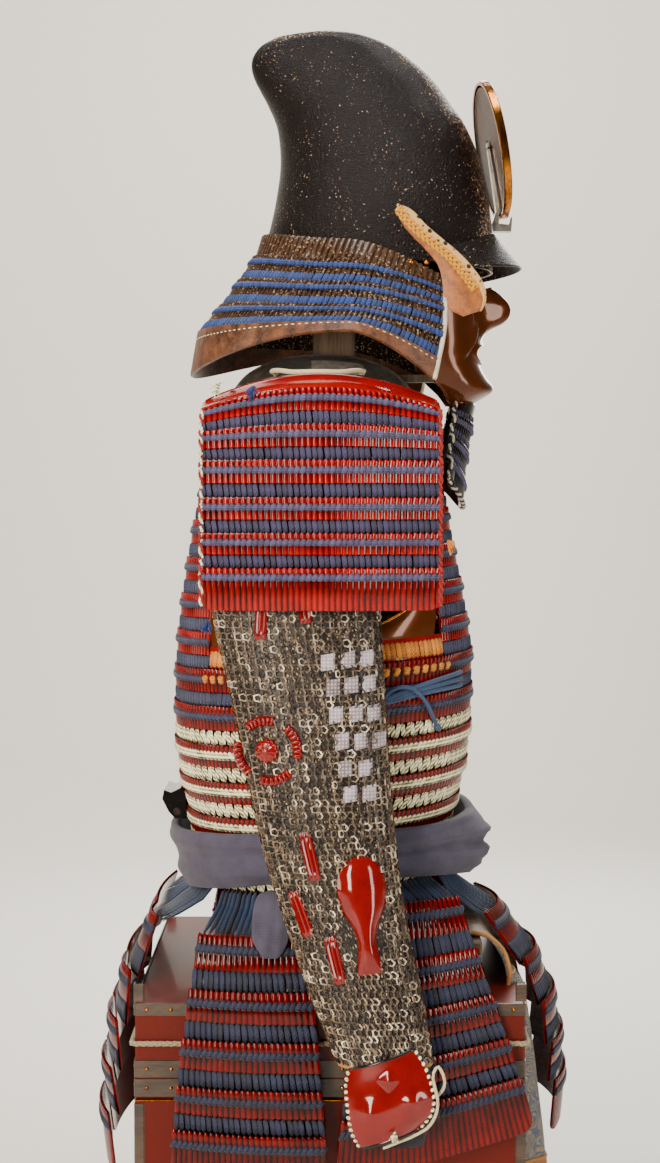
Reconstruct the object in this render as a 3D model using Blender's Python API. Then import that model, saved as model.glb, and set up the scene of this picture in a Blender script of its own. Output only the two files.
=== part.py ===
"""Samurai armour set up on its travelling chest.

Laced armour is small lacquered scales sewn into rows, and the rows are hung from each other on silk cords. Here each
laced panel is one wall whose outer face steps out at the head of every row, over a plain inside. The wearer would face
-Y, so the right arm is at -X. Heights are above the floor. Tables and sizes are in millimetres, and MM turns them to
metres as a mesh is made.
"""

import math

import bmesh
import bpy
import numpy as np
from mathutils.bvhtree import BVHTree

MM = 0.001
GAP = 0.3  # between pieces that touch
RIGHT, LEFT = -1, 1

# Laced walls: what a row of scales and its lacing add to each other.
SCALE_WALL = 3.5
ROW_HEAD = 3.5  # how far a row's head stands out over its foot
ROW_STEP = 3.0  # height of the step under a row's foot

# Cuirass: its outline seen from the side, and its half width.
CUIRASS_SECTIONS = [  # height, y at the back, y at the front, half width
    (545, 148, -127, 148),
    (600, 155, -136, 157),
    (640, 160, -146, 166),
    (690, 171, -156, 177),
    (745, 173, -158, 183),
    (800, 172, -158, 184),
    (835, 169, -152, 180),
    (870, 165, -146, 175),
    (920, 157, -136, 166),
    (980, 146, -126, 155),
    (1040, 131, -116, 145),
    (1080, 119, -110, 138),
]
CUIRASS_CORNER = 2.3  # exponent of the oval: 2 is an ellipse, more is squarer
CUIRASS_LEAN = 0.055  # the front stands higher than the back by this share of the depth
CUIRASS_FOOT = 556
CUIRASS_TOP = 816  # under the arms
CUIRASS_ROWS = [795, 756, 715, 675, 636, 597]
BREAST_TOP = 985
BREAST_ROWS = [951, 912, 873, 834]
BREAST_WIDTHS = [(816, 128), (870, 121), (930, 110), (985, 98)]  # height, half width
BACK_TOP = 1078
BACK_ROWS = [1015, 991, 952, 912, 873, 834]
BACK_WIDTHS = [(816, 136), (900, 128), (990, 116), (1078, 96)]

# Skirt: seven hanging panels. Corners are x, y, z for the right side, the rear corner first.
SKIRT_FRACTIONS = [0.0, 0.2, 0.39, 0.575, 0.75, 1.0]  # heads of the five rows, then the foot
SKIRT_PANELS = [  # name, angles on the cuirass, head corners, foot corners, bulge, flare in x and y, step, sides
    ("skirt_back", (-88, -54), ((-6, 188, 507), (-122, 176, 517)), ((-6, 246, 244), (-146, 226, 252)), 6, (1.2, 3.6), 10,
     (RIGHT, LEFT)),
    ("skirt_hip_rear", (-47, 1), ((-184, 134, 516), (-196, 24, 516)), ((-228, 161, 268), (-238, 3, 262)), 8, (2.6, 1.6), 6,
     (RIGHT, LEFT)),
    ("skirt_hip_front", (6, 56), ((-186, -36, 545), (-150, -133, 547)), ((-232, -5, 272), (-220, -209, 326)), 6, (3, 1.1), 6,
     (RIGHT, LEFT)),
    ("skirt_front", (65, 115), ((-82, -164, 513), (82, -164, 513)), ((-100, -238, 281), (100, -238, 281)), 20, (1.2, 3.6), 7,
     (RIGHT,)),
]

# Helmet bowl: pairs of points on its back and front outline, each with a half width.
BOWL_SECTIONS = [  # back y, back z, front y, front z, half width
    (71, 1250, -181, 1216, 105),
    (66, 1268, -180, 1262, 104),
    (60, 1296, -175, 1300, 100),
    (55, 1335, -167, 1338, 91),
    (58, 1374, -151, 1376, 77),
    (68, 1400, -135, 1401, 65),
    (77, 1417, -115, 1428, 53),
    (84, 1431, -96, 1446, 43),
    (87, 1444, -76, 1461, 34),
    (85, 1455, -56, 1472, 27),
    (77, 1466, -31, 1480, 20),
    (62, 1475, -7, 1483, 13),
]
BOWL_WALL = 3.0
BOWL_RIM_SAG = 9  # the rim dips by this at the ears
BOWL_SEGMENTS = 20

# Neck guard: where each row's head runs at the back, over the shoulder and at its front end.
NECK_SIDE_Y = -20
NECK_ROWS = [  # back y, back z, side x, side z, end x, end y, end z
    (72.2, 1256, 106.1, 1240, 101, -121, 1199),
    (82, 1233, 117, 1217, 108, -121, 1190),
    (99, 1207, 132, 1192, 115, -120, 1171),
    (119, 1179, 150, 1166, 124, -119, 1147),
    (144, 1150, 165, 1147, 137, -112, 1112),
    (154, 1102, 172, 1138, 146, -107, 1090),
]

# Shoulder straps: their line from the back panel over the shoulder to the breast.
STRAP_LINE = [  # y and z of the inner edge, then x, y and z of the outer edge
    (109, 1076, 94, 92, 1077),
    (92, 1098, 104, 80, 1088),
    (60, 1115, 113, 55, 1096),
    (22, 1121, 118, 20, 1098),
    (-2, 1121, 118, -2, 1098),
    (-35, 1117, 116, -32, 1094),
    (-68, 1103, 110, -60, 1084),
    (-90, 1080, 104, -80, 1064),
    (-103, 1050, 98, -92, 1040),
    (-112, 1018, 95, -98, 1014),
    (-117, 993.2, 94, -103, 993.4),
]
STRAP_INNER = 62  # x of the inner edge
STRAP_WALL = 5

# Shoulder guards.
GUARD_LINE = [(205, 1091), (232, 1084), (250, 1066), (256, 1040), (259, 1000), (262, 930), (264, 856)]  # x, z
GUARD_HALF_WIDTH = 119
GUARD_CENTRE_Y = 9
GUARD_ROWS = [1040, 1005, 968, 933, 899]
GUARD_CURVE = 15  # how far its front and rear edges turn towards the body
GUARD_ARCH = 27  # how far the top edge drops at its ends

# Sleeves: flat tubes, from the shoulder to the wrist.
SLEEVE_SECTIONS = [  # height, centre x, rear y, front y, half thickness
    (1094.8, -136.8, 55, -35, 18),
    (1060, -153, 84, -48, 22),
    (1010, -180, 104, -52, 25),
    (950, -203, 114, -52, 28),
    (853, -221, 115, -48, 30),
    (765, -225, 96, -53, 33),
    (686, -228, 80, -58, 34),
    (606, -234, 62, -65, 31),
    (537, -242, 40, -75, 27),
    (468, -253, 15, -90, 25),
    (405, -264, -11, -100, 22),
]
SLEEVE_WALL = 2.5
SLEEVE_SEGMENTS = 16
SLEEVE_SEAM = 765  # height of the seam between the upper arm and the forearm

# Chest and stand.
CHEST_SIZE = 400
CHEST_WALL = 14
CHEST_BODY_TOP = 350
CHEST_TOP = 450
BAR_DEPTH = (0, 20)  # y of the shoulder bar's rear and front faces


# Helpers

def lacquer(name, colour, roughness=0.3, metallic=0.0):
    """A Principled material from an sRGB hex colour."""
    made = bpy.data.materials.get(name)
    if made:
        return made
    made = bpy.data.materials.new(name)
    made.use_nodes = True
    channels = [int(colour[i:i + 2], 16) / 255 for i in (0, 2, 4)]
    linear = [c / 12.92 if c <= 0.04045 else ((c + 0.055) / 1.055) ** 2.4 for c in channels]
    shader = made.node_tree.nodes["Principled BSDF"]
    shader.inputs["Base Color"].default_value = (*linear, 1)
    shader.inputs["Roughness"].default_value = roughness
    shader.inputs["Metallic"].default_value = metallic
    return made


def red_lacquer():
    return lacquer("red_lacquer", "8A1A14", 0.25)


def brown_lacquer():
    return lacquer("brown_lacquer", "3A1C10", 0.25)


def smoothed(table, column, at):
    """A column of a table, as a smooth curve through its rows, at the given values of its first column."""
    rows = np.array([[float(v) for v in row] for row in table])
    rows = rows[np.argsort(rows[:, 0])]
    x, y = rows[:, 0], rows[:, column]
    slope = np.gradient(y, x)
    at = np.clip(np.asarray(at, float), x[0], x[-1])
    i = np.clip(np.searchsorted(x, at, side="right") - 1, 0, len(x) - 2)
    step = x[i + 1] - x[i]
    t = (at - x[i]) / step
    return (
        (2 * t**3 - 3 * t**2 + 1) * y[i]
        + (t**3 - 2 * t**2 + t) * step * slope[i]
        + (3 * t**2 - 2 * t**3) * y[i + 1]
        + (t**3 - t**2) * step * slope[i + 1]
    )


def facing(grid, away_from):
    """Unit normals of a grid of points, pointing away from a point inside."""
    down = np.gradient(grid, axis=0)
    across = np.gradient(grid, axis=1)
    normal = np.cross(down, across)
    normal /= np.linalg.norm(normal, axis=2, keepdims=True)
    outward = ((grid - np.array(away_from, float)) * normal).sum()
    return normal if outward > 0 else -normal


def mesh_object(name, points, faces, material, smooth_below=35):
    """A mesh object from points in millimetres, with its faces turned outwards."""
    data = bpy.data.meshes.new(name)
    data.from_pydata((np.asarray(points, float) * MM).tolist(), [], faces)
    shape = bmesh.new()
    shape.from_mesh(data)
    bmesh.ops.recalc_face_normals(shape, faces=shape.faces)
    shape.to_mesh(data)
    shape.free()
    data.shade_smooth()
    data.set_sharp_from_angle(angle=math.radians(smooth_below))
    data.materials.append(material)
    made = bpy.data.objects.new(name, data)
    bpy.context.scene.collection.objects.link(made)
    return made


def wall(name, outer, inner, material, closed=False):
    """A closed wall between two grids of points, rows by columns. A closed wall's last column meets its first."""
    rows, columns = outer.shape[:2]
    count = rows * columns
    spans = columns if closed else columns - 1
    faces = []
    for r in range(rows - 1):
        for c in range(spans):
            a, b = r * columns + c, r * columns + (c + 1) % columns
            faces.append((a, b, b + columns, a + columns))
            faces.append((a + count, a + columns + count, b + columns + count, b + count))
    for r in (0, rows - 1):
        for c in range(spans):
            a, b = r * columns + c, r * columns + (c + 1) % columns
            faces.append((a, b, b + count, a + count))
    if not closed:
        for c in (0, columns - 1):
            for r in range(rows - 1):
                a = r * columns + c
                faces.append((a, a + columns, a + columns + count, a + count))
    points = np.concatenate([outer.reshape(-1, 3), inner.reshape(-1, 3)])
    return mesh_object(name, points, faces, material)


def shell(name, outer, inner, material):
    """A closed cap between two stacks of rings, each closed by a fan at its last ring and joined at the first."""
    rings, segments = outer.shape[:2]
    points, faces = [], []
    for grid, turn in ((outer, 1), (inner, -1)):
        start = len(points)
        points += grid.reshape(-1, 3).tolist()
        points.append(grid[-1].mean(axis=0).tolist())
        for r in range(rings - 1):
            for c in range(segments):
                a, b = start + r * segments + c, start + r * segments + (c + 1) % segments
                faces.append((a, b, b + segments, a + segments)[::turn])
        last = start + (rings - 1) * segments
        for c in range(segments):
            faces.append((last + c, last + (c + 1) % segments, start + rings * segments)[::turn])
    half = rings * segments + 1
    for c in range(segments):
        b = (c + 1) % segments
        faces.append((c, c + half, b + half, b))
    return mesh_object(name, points, faces, material)


def tube(name, points, diameter, material, closed=False, sides=2):
    """A cord: a curve through points in millimetres, with a round section."""
    data = bpy.data.curves.new(name, "CURVE")
    data.dimensions = "3D"
    data.bevel_depth = diameter / 2 * MM
    data.bevel_resolution = sides
    data.use_fill_caps = not closed
    line = data.splines.new("POLY")
    line.points.add(len(points) - 1)
    for point, place in zip(line.points, points):
        point.co = (*(float(v) * MM for v in place), 1)
    line.use_cyclic_u = closed
    data.materials.append(material)
    made = bpy.data.objects.new(name, data)
    bpy.context.scene.collection.objects.link(made)
    return made


def block(name, low, high, material, bevel=0.0):
    """A plain block between two corners in millimetres, with its edges bevelled."""
    corners = [[(low, high)[i >> k & 1][k] for k in range(3)] for i in range(8)]
    faces = [(0, 2, 3, 1), (4, 5, 7, 6), (0, 1, 5, 4), (2, 6, 7, 3), (0, 4, 6, 2), (1, 3, 7, 5)]
    made = mesh_object(name, corners, faces, material)
    if bevel:
        edge = made.modifiers.new("edges", "BEVEL")
        edge.width = bevel * MM
        edge.segments = 1
    return made


def cut(target, cutter):
    """Takes a cutter out of an object."""
    cutter.hide_render = True
    cutter.display_type = "WIRE"
    made = target.modifiers.new("cut_" + cutter.name, "BOOLEAN")
    made.operation = "DIFFERENCE"
    made.object = cutter


def laced_levels(top, heads, foot):
    """Levels down a laced wall, as pairs of a height and how far it stands out there."""
    levels = [(top, 0.0 if heads and top - heads[0] > ROW_STEP else ROW_HEAD)]
    for head in heads:
        if head < top - ROW_STEP:
            levels.append((head + ROW_STEP / 2, 0.0))
            levels.append((head - ROW_STEP / 2, ROW_HEAD))
    levels.append((foot, 0.0))
    return levels


def mirrored(points, side):
    """Points of the right side, moved to the given side."""
    made = np.array(points, float)
    made[..., 0] *= 1 if side == RIGHT else -1
    return made


def side_name(name, side, sides=(RIGHT, LEFT)):
    return name if len(sides) == 1 else f"{name}_{'right' if side == RIGHT else 'left'}"


# Cuirass

def cuirass_face(x, height, behind, offset=0.0):
    """The y of the cuirass's face at a distance from its middle plane, in front or behind."""
    half_width = smoothed(CUIRASS_SECTIONS, 3, height) + offset
    back = smoothed(CUIRASS_SECTIONS, 1, height) + offset
    front = smoothed(CUIRASS_SECTIONS, 2, height) - offset
    middle = (back + front) / 2
    reach = np.clip(1 - np.abs(x / half_width) ** CUIRASS_CORNER, 0, 1) ** (1 / CUIRASS_CORNER)
    return middle + (back - middle if behind else front - middle) * reach


def cuirass_ring(angles, height, offset=0.0):
    """Points round the cuirass at one height. Angle 0 is the right side, 90 the front and -90 the back."""
    half_width = float(smoothed(CUIRASS_SECTIONS, 3, height)) + offset
    back = float(smoothed(CUIRASS_SECTIONS, 1, height)) + offset
    front = float(smoothed(CUIRASS_SECTIONS, 2, height)) - offset
    angles = np.radians(angles)
    power = 2 / CUIRASS_CORNER
    middle, depth = (back + front) / 2, (back - front) / 2
    x = -half_width * np.sign(np.cos(angles)) * np.abs(np.cos(angles)) ** power
    y = middle - depth * np.sign(np.sin(angles)) * np.abs(np.sin(angles)) ** power
    return np.stack([x, y, height - CUIRASS_LEAN * y], axis=-1)


def cuirass_half(name, behind):
    """The front or the back of the body of the cuirass, from one side seam to the other."""
    seam = GAP / 2
    angles = np.linspace(0, 180, 15) * (-1 if behind else 1)
    outer, inner = [], []
    for height, head in laced_levels(CUIRASS_TOP, CUIRASS_ROWS, CUIRASS_FOOT):
        outer.append(cuirass_ring(angles, height, head - ROW_HEAD))
        inner.append(cuirass_ring(angles, height, -ROW_HEAD - SCALE_WALL))
    outer, inner = np.array(outer), np.array(inner)
    for grid in (outer, inner):
        middle_y = grid[:, :1, 1]
        for column in (0, -1):
            grid[:, column, 1] = middle_y[:, 0] + (seam if behind else -seam)
    return wall(name, outer, inner, red_lacquer())


def cuirass_upper(name, behind, top, heads, widths):
    """The narrower front or back above the arms."""
    across = np.linspace(-1, 1, 11)
    outer, inner = [], []
    for height, head in laced_levels(top, heads, CUIRASS_TOP + GAP):
        x = across * float(smoothed(widths, 1, height))
        for grid, offset in ((outer, head - ROW_HEAD), (inner, -ROW_HEAD - SCALE_WALL)):
            y = cuirass_face(x, height, behind, offset)
            grid.append(np.stack([x, y, height - CUIRASS_LEAN * y], axis=-1))
    return wall(name, np.array(outer), np.array(inner), red_lacquer())


def armpit_plate(side):
    """A plain lacquered plate that stands on the cuirass under the arm, with a curved top edge."""
    angles = np.linspace(-34, 34, 9)
    arch = 30 * np.cos(np.radians(angles) * 90 / 34) ** 0.8
    outer, inner = [], []
    for share in (0.0, 0.5, 1.0):
        for grid, offset in ((outer, -3.0), (inner, -5.5)):
            ring = cuirass_ring(angles, CUIRASS_TOP + GAP, offset)
            ring[:, 2] += share * (8 + arch)
            ring[:, 0] += share * 5
            grid.append(ring)
    outer, inner = (mirrored(grid, side) for grid in (outer, inner))
    return wall(side_name("armpit_plate", side), outer, inner, lacquer("bronze_lacquer", "6B4423", 0.2, 0.6))


def shoulder_strap(side):
    """A leather covered strap that runs over the shoulder and carries the cuirass."""
    line = np.array(STRAP_LINE, float)
    inner_edge = np.stack([np.full(len(line), -STRAP_INNER), line[:, 0], line[:, 1]], axis=-1)
    outer_edge = np.stack([-line[:, 2], line[:, 3], line[:, 4]], axis=-1)
    share = np.linspace(0, 1, 4)[None, :, None]
    grid = inner_edge[:, None] + (outer_edge - inner_edge)[:, None] * share
    normal = facing(grid, (-90, 0, 1000))
    inner = grid - normal * STRAP_WALL
    return wall(side_name("shoulder_strap", side), mirrored(grid, side), mirrored(inner, side),
                lacquer("strap_leather", "4A463F", 0.6))


# Skirt

def skirt_panel(name, angles, head, foot, bulge, flare, step, side):
    """A panel of five laced rows that hangs from the cuirass on a curtain of cords."""
    across = np.linspace(0, 1, 7)
    ring = cuirass_ring(np.linspace(*angles, len(across)), CUIRASS_FOOT - GAP, -4.0)
    head, foot = np.array(head, float), np.array(foot, float)
    swell = (1 - (2 * across - 1) ** 2)[:, None]
    middle = (foot[0] + foot[1]) / 2 * (1, 1, 0)
    swell_way = middle / np.linalg.norm(middle) * bulge
    head_row = head[0] + (head[1] - head[0]) * across[:, None] + swell * swell_way
    foot_row = foot[0] + (foot[1] - foot[0]) * across[:, None] + swell * swell_way

    def level(share):
        out = 1 - (1 - share) ** np.array([*flare, 1.0])
        return head_row + (foot_row - head_row) * out

    span = float(head_row[:, 2].mean() - foot_row[:, 2].mean())
    base, stand_out = [ring, ring + (head_row - ring) * (0.32, 0.32, 0.65)], [0.5, 0.5]
    for share in SKIRT_FRACTIONS[:-1]:
        base += [level(share), level(share + ROW_STEP / span)]
        stand_out += [0.0, step]
    base.append(level(1.0))
    stand_out.append(1.0)
    base = np.array(base)
    normal = facing(base, (0, 10, base[..., 2].mean()))
    normal[0] = 0
    outer = base + normal * np.array(stand_out)[:, None, None]
    inner = base - normal * SCALE_WALL
    outward = (ring - (0, 10, 0)) * (1, 1, 0)
    outward /= np.linalg.norm(outward, axis=1, keepdims=True)
    outer[0], inner[0] = ring + outward * 1.5, ring - outward * 1.5
    return wall(name, mirrored(outer, side), mirrored(inner, side), red_lacquer())


# Sash

SASH_LINE = [  # angle, top height, foot height, stand-off at the top, stand-off at the foot
    (-180, 620, 568, 0.1, 0.4),
    (-135, 612, 552, 6.0, 4.0),
    (-90, 605, 540, 14.0, 3.0),
    (-45, 612, 552, 6.0, 4.0),
    (0, 620, 568, 0.1, 0.4),
    (45, 622, 566, 6.0, 8.0),
    (75, 624, 556, 9.0, 14.0),
    (90, 622, 548, 10.0, 16.0),
    (105, 624, 556, 9.0, 14.0),
    (135, 622, 566, 6.0, 8.0),
    (180, 620, 568, 0.1, 0.4),
]
SASH_WALL = 8
SASH_KNOT = (78, 16, 20)  # the fold over the front: its angle, half width in degrees, and how far it stands out


def sash():
    """A cotton sash wound round the waist: two soft turns that bulge between their edges."""
    angles = np.linspace(-180, 180, 33)[:-1]
    knot = SASH_KNOT[2] * np.exp(-(((angles - SASH_KNOT[0]) / SASH_KNOT[1]) ** 2))
    outer, inner = [], []
    for share, bulge, knotted in ((0.0, 0.0, 0.1), (0.22, 5.0, 0.8), (0.45, 1.0, 1.0), (0.72, 6.0, 0.9), (1.0, 0.0, 0.2)):
        rings = []
        for angle in angles:
            top, foot, off_top, off_foot = (float(smoothed(SASH_LINE, c, angle)) for c in (1, 2, 3, 4))
            height = top + (foot - top) * share
            ring = cuirass_ring(np.array([angle]), max(height, 560), 0.4 + off_top + (off_foot - off_top) * share)[0]
            ring[2] = height
            rings.append(ring)
        rings = np.array(rings)
        outward = (rings - (0, 10, 0)) * (1, 1, 0)
        outward /= np.linalg.norm(outward, axis=1, keepdims=True)
        inner.append(rings)
        outer.append(rings + outward * (SASH_WALL + bulge + knot * knotted)[:, None])
    return wall("sash", np.array(outer), np.array(inner), lacquer("sash_cotton", "4A4C66", 0.9), closed=True)


def soft_lump(name, centre, size, material, squareness=2.4, lean=(0, 0)):
    """A rounded fold of cloth: a squarish ball, leant over."""
    data = bpy.data.meshes.new(name)
    shape = bmesh.new()
    bmesh.ops.create_uvsphere(shape, u_segments=16, v_segments=8, radius=1)
    for vertex in shape.verts:
        co = np.array(vertex.co)
        co /= (np.abs(co) ** squareness).sum() ** (1 / squareness)
        place = np.array(centre) + co * np.array(size)
        place[0] += lean[0] * co[2] * size[2]
        place[1] += lean[1] * co[2] * size[2]
        vertex.co = (place * MM).tolist()
    shape.to_mesh(data)
    shape.free()
    data.shade_smooth()
    data.materials.append(material)
    made = bpy.data.objects.new(name, data)
    bpy.context.scene.collection.objects.link(made)
    return made


# Sleeves

def sleeve_section(height, offset=0.0):
    """Centre x, centre y and half sizes of the sleeve at one height."""
    centre_x = float(smoothed(SLEEVE_SECTIONS, 1, height))
    rear, front = (float(smoothed(SLEEVE_SECTIONS, c, height)) for c in (2, 3))
    thick = float(smoothed(SLEEVE_SECTIONS, 4, height))
    return centre_x, (rear + front) / 2, thick + offset, (rear - front) / 2 + offset


def sleeve_point(height, angle, offset=0.0):
    """A point on the sleeve. Angle 0 faces straight out to the right, 90 to the front."""
    cx, cy, thick, wide = sleeve_section(height, offset)
    angle = np.radians(angle)
    x = cx - thick * np.sign(np.cos(angle)) * np.abs(np.cos(angle)) ** 0.85
    y = cy - wide * np.sign(np.sin(angle)) * np.abs(np.sin(angle)) ** 0.9
    return np.array([x, y, height])


def sleeve_rings(heights, offset=0.0):
    """Rings of points down the right sleeve at the given heights, moved outwards by an offset."""
    angles = np.linspace(0, 360, SLEEVE_SEGMENTS + 1)[:-1]
    return np.array([[sleeve_point(height, a, offset) for a in angles] for height in heights])


def sleeve_faces():
    """The right sleeve's outer surface in metres, split in triangles both ways, for plates to be seated on."""
    rings = sleeve_rings([row[0] for row in SLEEVE_SECTIONS])
    count, segments = rings.shape[:2]
    faces = []
    for r in range(count - 1):
        for c in range(segments):
            a, b = r * segments + c, r * segments + (c + 1) % segments
            faces += [(a, b, b + segments), (a, b + segments, a + segments)]
            faces += [(a, b, a + segments), (b, b + segments, a + segments)]
    return (rings.reshape(-1, 3) * MM).tolist(), faces


def sleeve(side):
    """The cloth sleeve that carries the mail, open at the shoulder and the wrist, in two lengths that meet in a seam."""
    heights = [row[0] for row in SLEEVE_SECTIONS]
    upper = [height for height in heights if height > SLEEVE_SEAM] + [SLEEVE_SEAM + GAP / 2]
    lower = [SLEEVE_SEAM - GAP / 2] + [height for height in heights if height < SLEEVE_SEAM]
    for name, levels in (("sleeve_arm", upper), ("sleeve_forearm", lower)):
        outer, inner = sleeve_rings(levels), sleeve_rings(levels, -SLEEVE_WALL)
        wall(side_name(name, side), mirrored(outer, side), mirrored(inner, side),
             lacquer("mail_on_cloth", "3B332E", 0.45, 0.4), closed=True)


def sleeve_patch(name, sleeve_tree, side, centre, half_size, angle, rise, outline, clearance, columns=5):
    """A domed plate on the outer face of the sleeve, its half width given at each share of its length.

    The clearance is to the flat facets of the sleeve, whose edges stand up between the plate's points.
    """
    turn = math.radians(angle)
    shares = np.linspace(-1, 1, 9)
    widths = np.interp(shares, *zip(*outline))
    outer, inner = [], []
    for share, width in zip(shares, widths):
        row_outer, row_inner = [], []
        for across in np.linspace(-1, 1, columns):
            along, aside = share * half_size[1], across * width * half_size[0]
            y = centre[0] + aside * math.cos(turn) + along * math.sin(turn)
            z = centre[1] - aside * math.sin(turn) + along * math.cos(turn)
            dome = rise * max(0.0, 1 - abs(across) ** 2.5) * max(0.0, 1 - abs(share) ** 4) + 1.6
            hit = sleeve_tree.ray_cast((-0.4, y * MM, z * MM), (1, 0, 0))[0]
            face = hit.x / MM - clearance
            row_outer.append((face - dome, y, z))
            row_inner.append((face, y, z))
        outer.append(row_outer)
        inner.append(row_inner)
    return wall(side_name(name, side), mirrored(outer, side), mirrored(inner, side), red_lacquer())


# Shoulder guards

def shoulder_guard(side):
    """A laced guard that hangs over the upper arm, its top plate curved in over the shoulder."""
    line = np.array(GUARD_LINE, float)
    across = np.linspace(-1, 1, 9)
    levels = [(1091, 0.0), (1084, 0.0)] + laced_levels(1066, GUARD_ROWS, 856)
    base, stand_out = [], []
    for height, head in levels:
        x = float(np.interp(-height, -line[:, 1], line[:, 0]))
        arch = GUARD_ARCH * np.clip((height - 1000) / 90, 0, 1) ** 1.5
        base.append([(-(x - GUARD_CURVE * u**2), GUARD_CENTRE_Y + u * GUARD_HALF_WIDTH, height - arch * u**2)
                     for u in across])
        stand_out.append(head)
    base = np.array(base)
    normal = facing(base, (0, 0, 1000))
    outer = base + normal * np.array(stand_out)[:, None, None]
    inner = base - normal * SCALE_WALL
    return wall(side_name("shoulder_guard", side), mirrored(outer, side), mirrored(inner, side), red_lacquer())


def guard_cord(side):
    """A doeskin cord that ties the top plate of the guard to the shoulder strap, with no free end."""
    points = [(-113.4, 56, 1096), (-122, 58, 1098), (-150, 60, 1098), (-180, 52, 1097), (-201, 36, 1094),
              (-207, 14, 1094), (-201, -10, 1094), (-180, -26, 1097), (-150, -34, 1098), (-122, -34, 1098),
              (-116.6, -32, 1095)]
    return tube(side_name("guard_cord", side), mirrored(points, side), 5, lacquer("doeskin", "D9C9A0", 0.8))


# Helmet

def bowl_rings(offset):
    """Rings of the bowl, from its rim to its top, moved inwards by an offset."""
    angles = np.linspace(0, 2 * math.pi, BOWL_SEGMENTS + 1)[:-1]
    rings = []
    for index, (back_y, back_z, front_y, front_z, half_width) in enumerate(BOWL_SECTIONS):
        middle = np.array([(back_y + front_y) / 2, (back_z + front_z) / 2])
        reach = np.array([front_y, front_z]) - middle
        reach *= 1 - offset / np.linalg.norm(reach)
        width = half_width - offset
        sag = BOWL_RIM_SAG if index == 0 else 0
        rings.append([
            (-width * math.sin(a), middle[0] + reach[0] * math.cos(a), middle[1] + reach[1] * math.cos(a)
             - sag * math.sin(a) ** 2)
            for a in angles
        ])
    return np.array(rings)


def bowl():
    """The helmet's bowl: a tall shell, swept back to a rounded crest, and open below."""
    outer = bowl_rings(0.0)
    inner = bowl_rings(BOWL_WALL)
    inner[1:, :, 2] -= np.linspace(0, BOWL_WALL, len(inner) - 1)[:, None]
    return shell("helmet_bowl", outer, inner, brown_lacquer())


def peak():
    """The helmet's peak, a curved plate riveted round the front of the bowl."""
    angles = np.radians(np.linspace(-62, 62, 13))
    middle = (BOWL_SECTIONS[1][0] + BOWL_SECTIONS[1][2]) / 2
    half = (BOWL_SECTIONS[1][0] - BOWL_SECTIONS[1][2]) / 2
    width = BOWL_SECTIONS[1][4]
    rows = []
    for share in (0.0, 0.35, 0.7, 1.0):
        out = 2.6 + share * (7 + 23 * np.cos(angles) ** 2)
        height = 1226 + 33 * np.cos(angles) ** 2 - share * (17 + 20 * np.cos(angles) ** 2)
        rows.append(np.stack([-(width + out) * np.sin(angles), middle - (half + out) * np.cos(angles), height], axis=-1))
    outer = np.array(rows)
    normal = facing(outer, (0, -60, 1150))
    return wall("helmet_peak", outer, outer - normal * 2.2, brown_lacquer())


def prism(name, profile, half_width, material, centre_x=0.0):
    """A plate of even width in x, whose outline is given in y and z."""
    points = [(centre_x + x, y, z) for x in (-half_width, half_width) for y, z in profile]
    n = len(profile)
    faces = [tuple(range(n)), tuple(range(2 * n - 1, n - 1, -1))]
    faces += [(i, (i + 1) % n, (i + 1) % n + n, i + n) for i in range(n)]
    return mesh_object(name, points, faces, material)


CREST_CENTRE = (-179.5, 1352)  # y, z
CREST_LEAN, CREST_TURN = 10.3, 4.2  # degrees: back from upright, and away from the right side


def crest():
    """The round front crest, a shallow dish with a deep rim, held by a forked bracket and a tongue behind it."""
    gilt = lacquer("gilt", "B07A35", 0.25, 0.9)
    profile = [(0, -1.5), (66, -1.5), (72, -3), (76, -4), (76, 5), (72.5, 5), (70, 1), (0, 1.5)]
    data = bpy.data.meshes.new("crest_disc")
    shape = bmesh.new()
    line = [shape.verts.new((r * MM, 0, z * MM)) for r, z in profile]
    edges = [shape.edges.new(pair) for pair in zip(line, line[1:])]
    bmesh.ops.spin(shape, geom=line + edges, cent=(0, 0, 0), axis=(0, 0, 1), angle=math.tau, steps=28)
    bmesh.ops.remove_doubles(shape, verts=shape.verts, dist=0.0001)
    bmesh.ops.recalc_face_normals(shape, faces=shape.faces)
    shape.to_mesh(data)
    shape.free()
    data.shade_smooth()
    data.set_sharp_from_angle(angle=math.radians(35))
    data.materials.append(gilt)
    disc = bpy.data.objects.new("crest_disc", data)
    disc.location = (0, CREST_CENTRE[0] * MM, CREST_CENTRE[1] * MM)
    disc.rotation_euler = (math.radians(90 - CREST_LEAN), 0, math.radians(CREST_TURN))
    bpy.context.scene.collection.objects.link(disc)
    slope = math.tan(math.radians(CREST_LEAN))

    def behind(z, off):
        return CREST_CENTRE[0] - (CREST_CENTRE[1] - z) * slope + off

    tongue = [(-180.6, 1262.6), (-179.4, 1271), (behind(1285, 7.5), 1285), (behind(1360, 4.6), 1360),
              (behind(1360, 2.4), 1360), (behind(1290, 3.8), 1290), (behind(1284, 4.6), 1271), (-198, 1270),
              (-200, 1278), (-202, 1278), (-201, 1262.6)]
    prism("crest_bracket", tongue, 7, lacquer("bright_iron", "B9B2A6", 0.3, 0.9))


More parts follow.
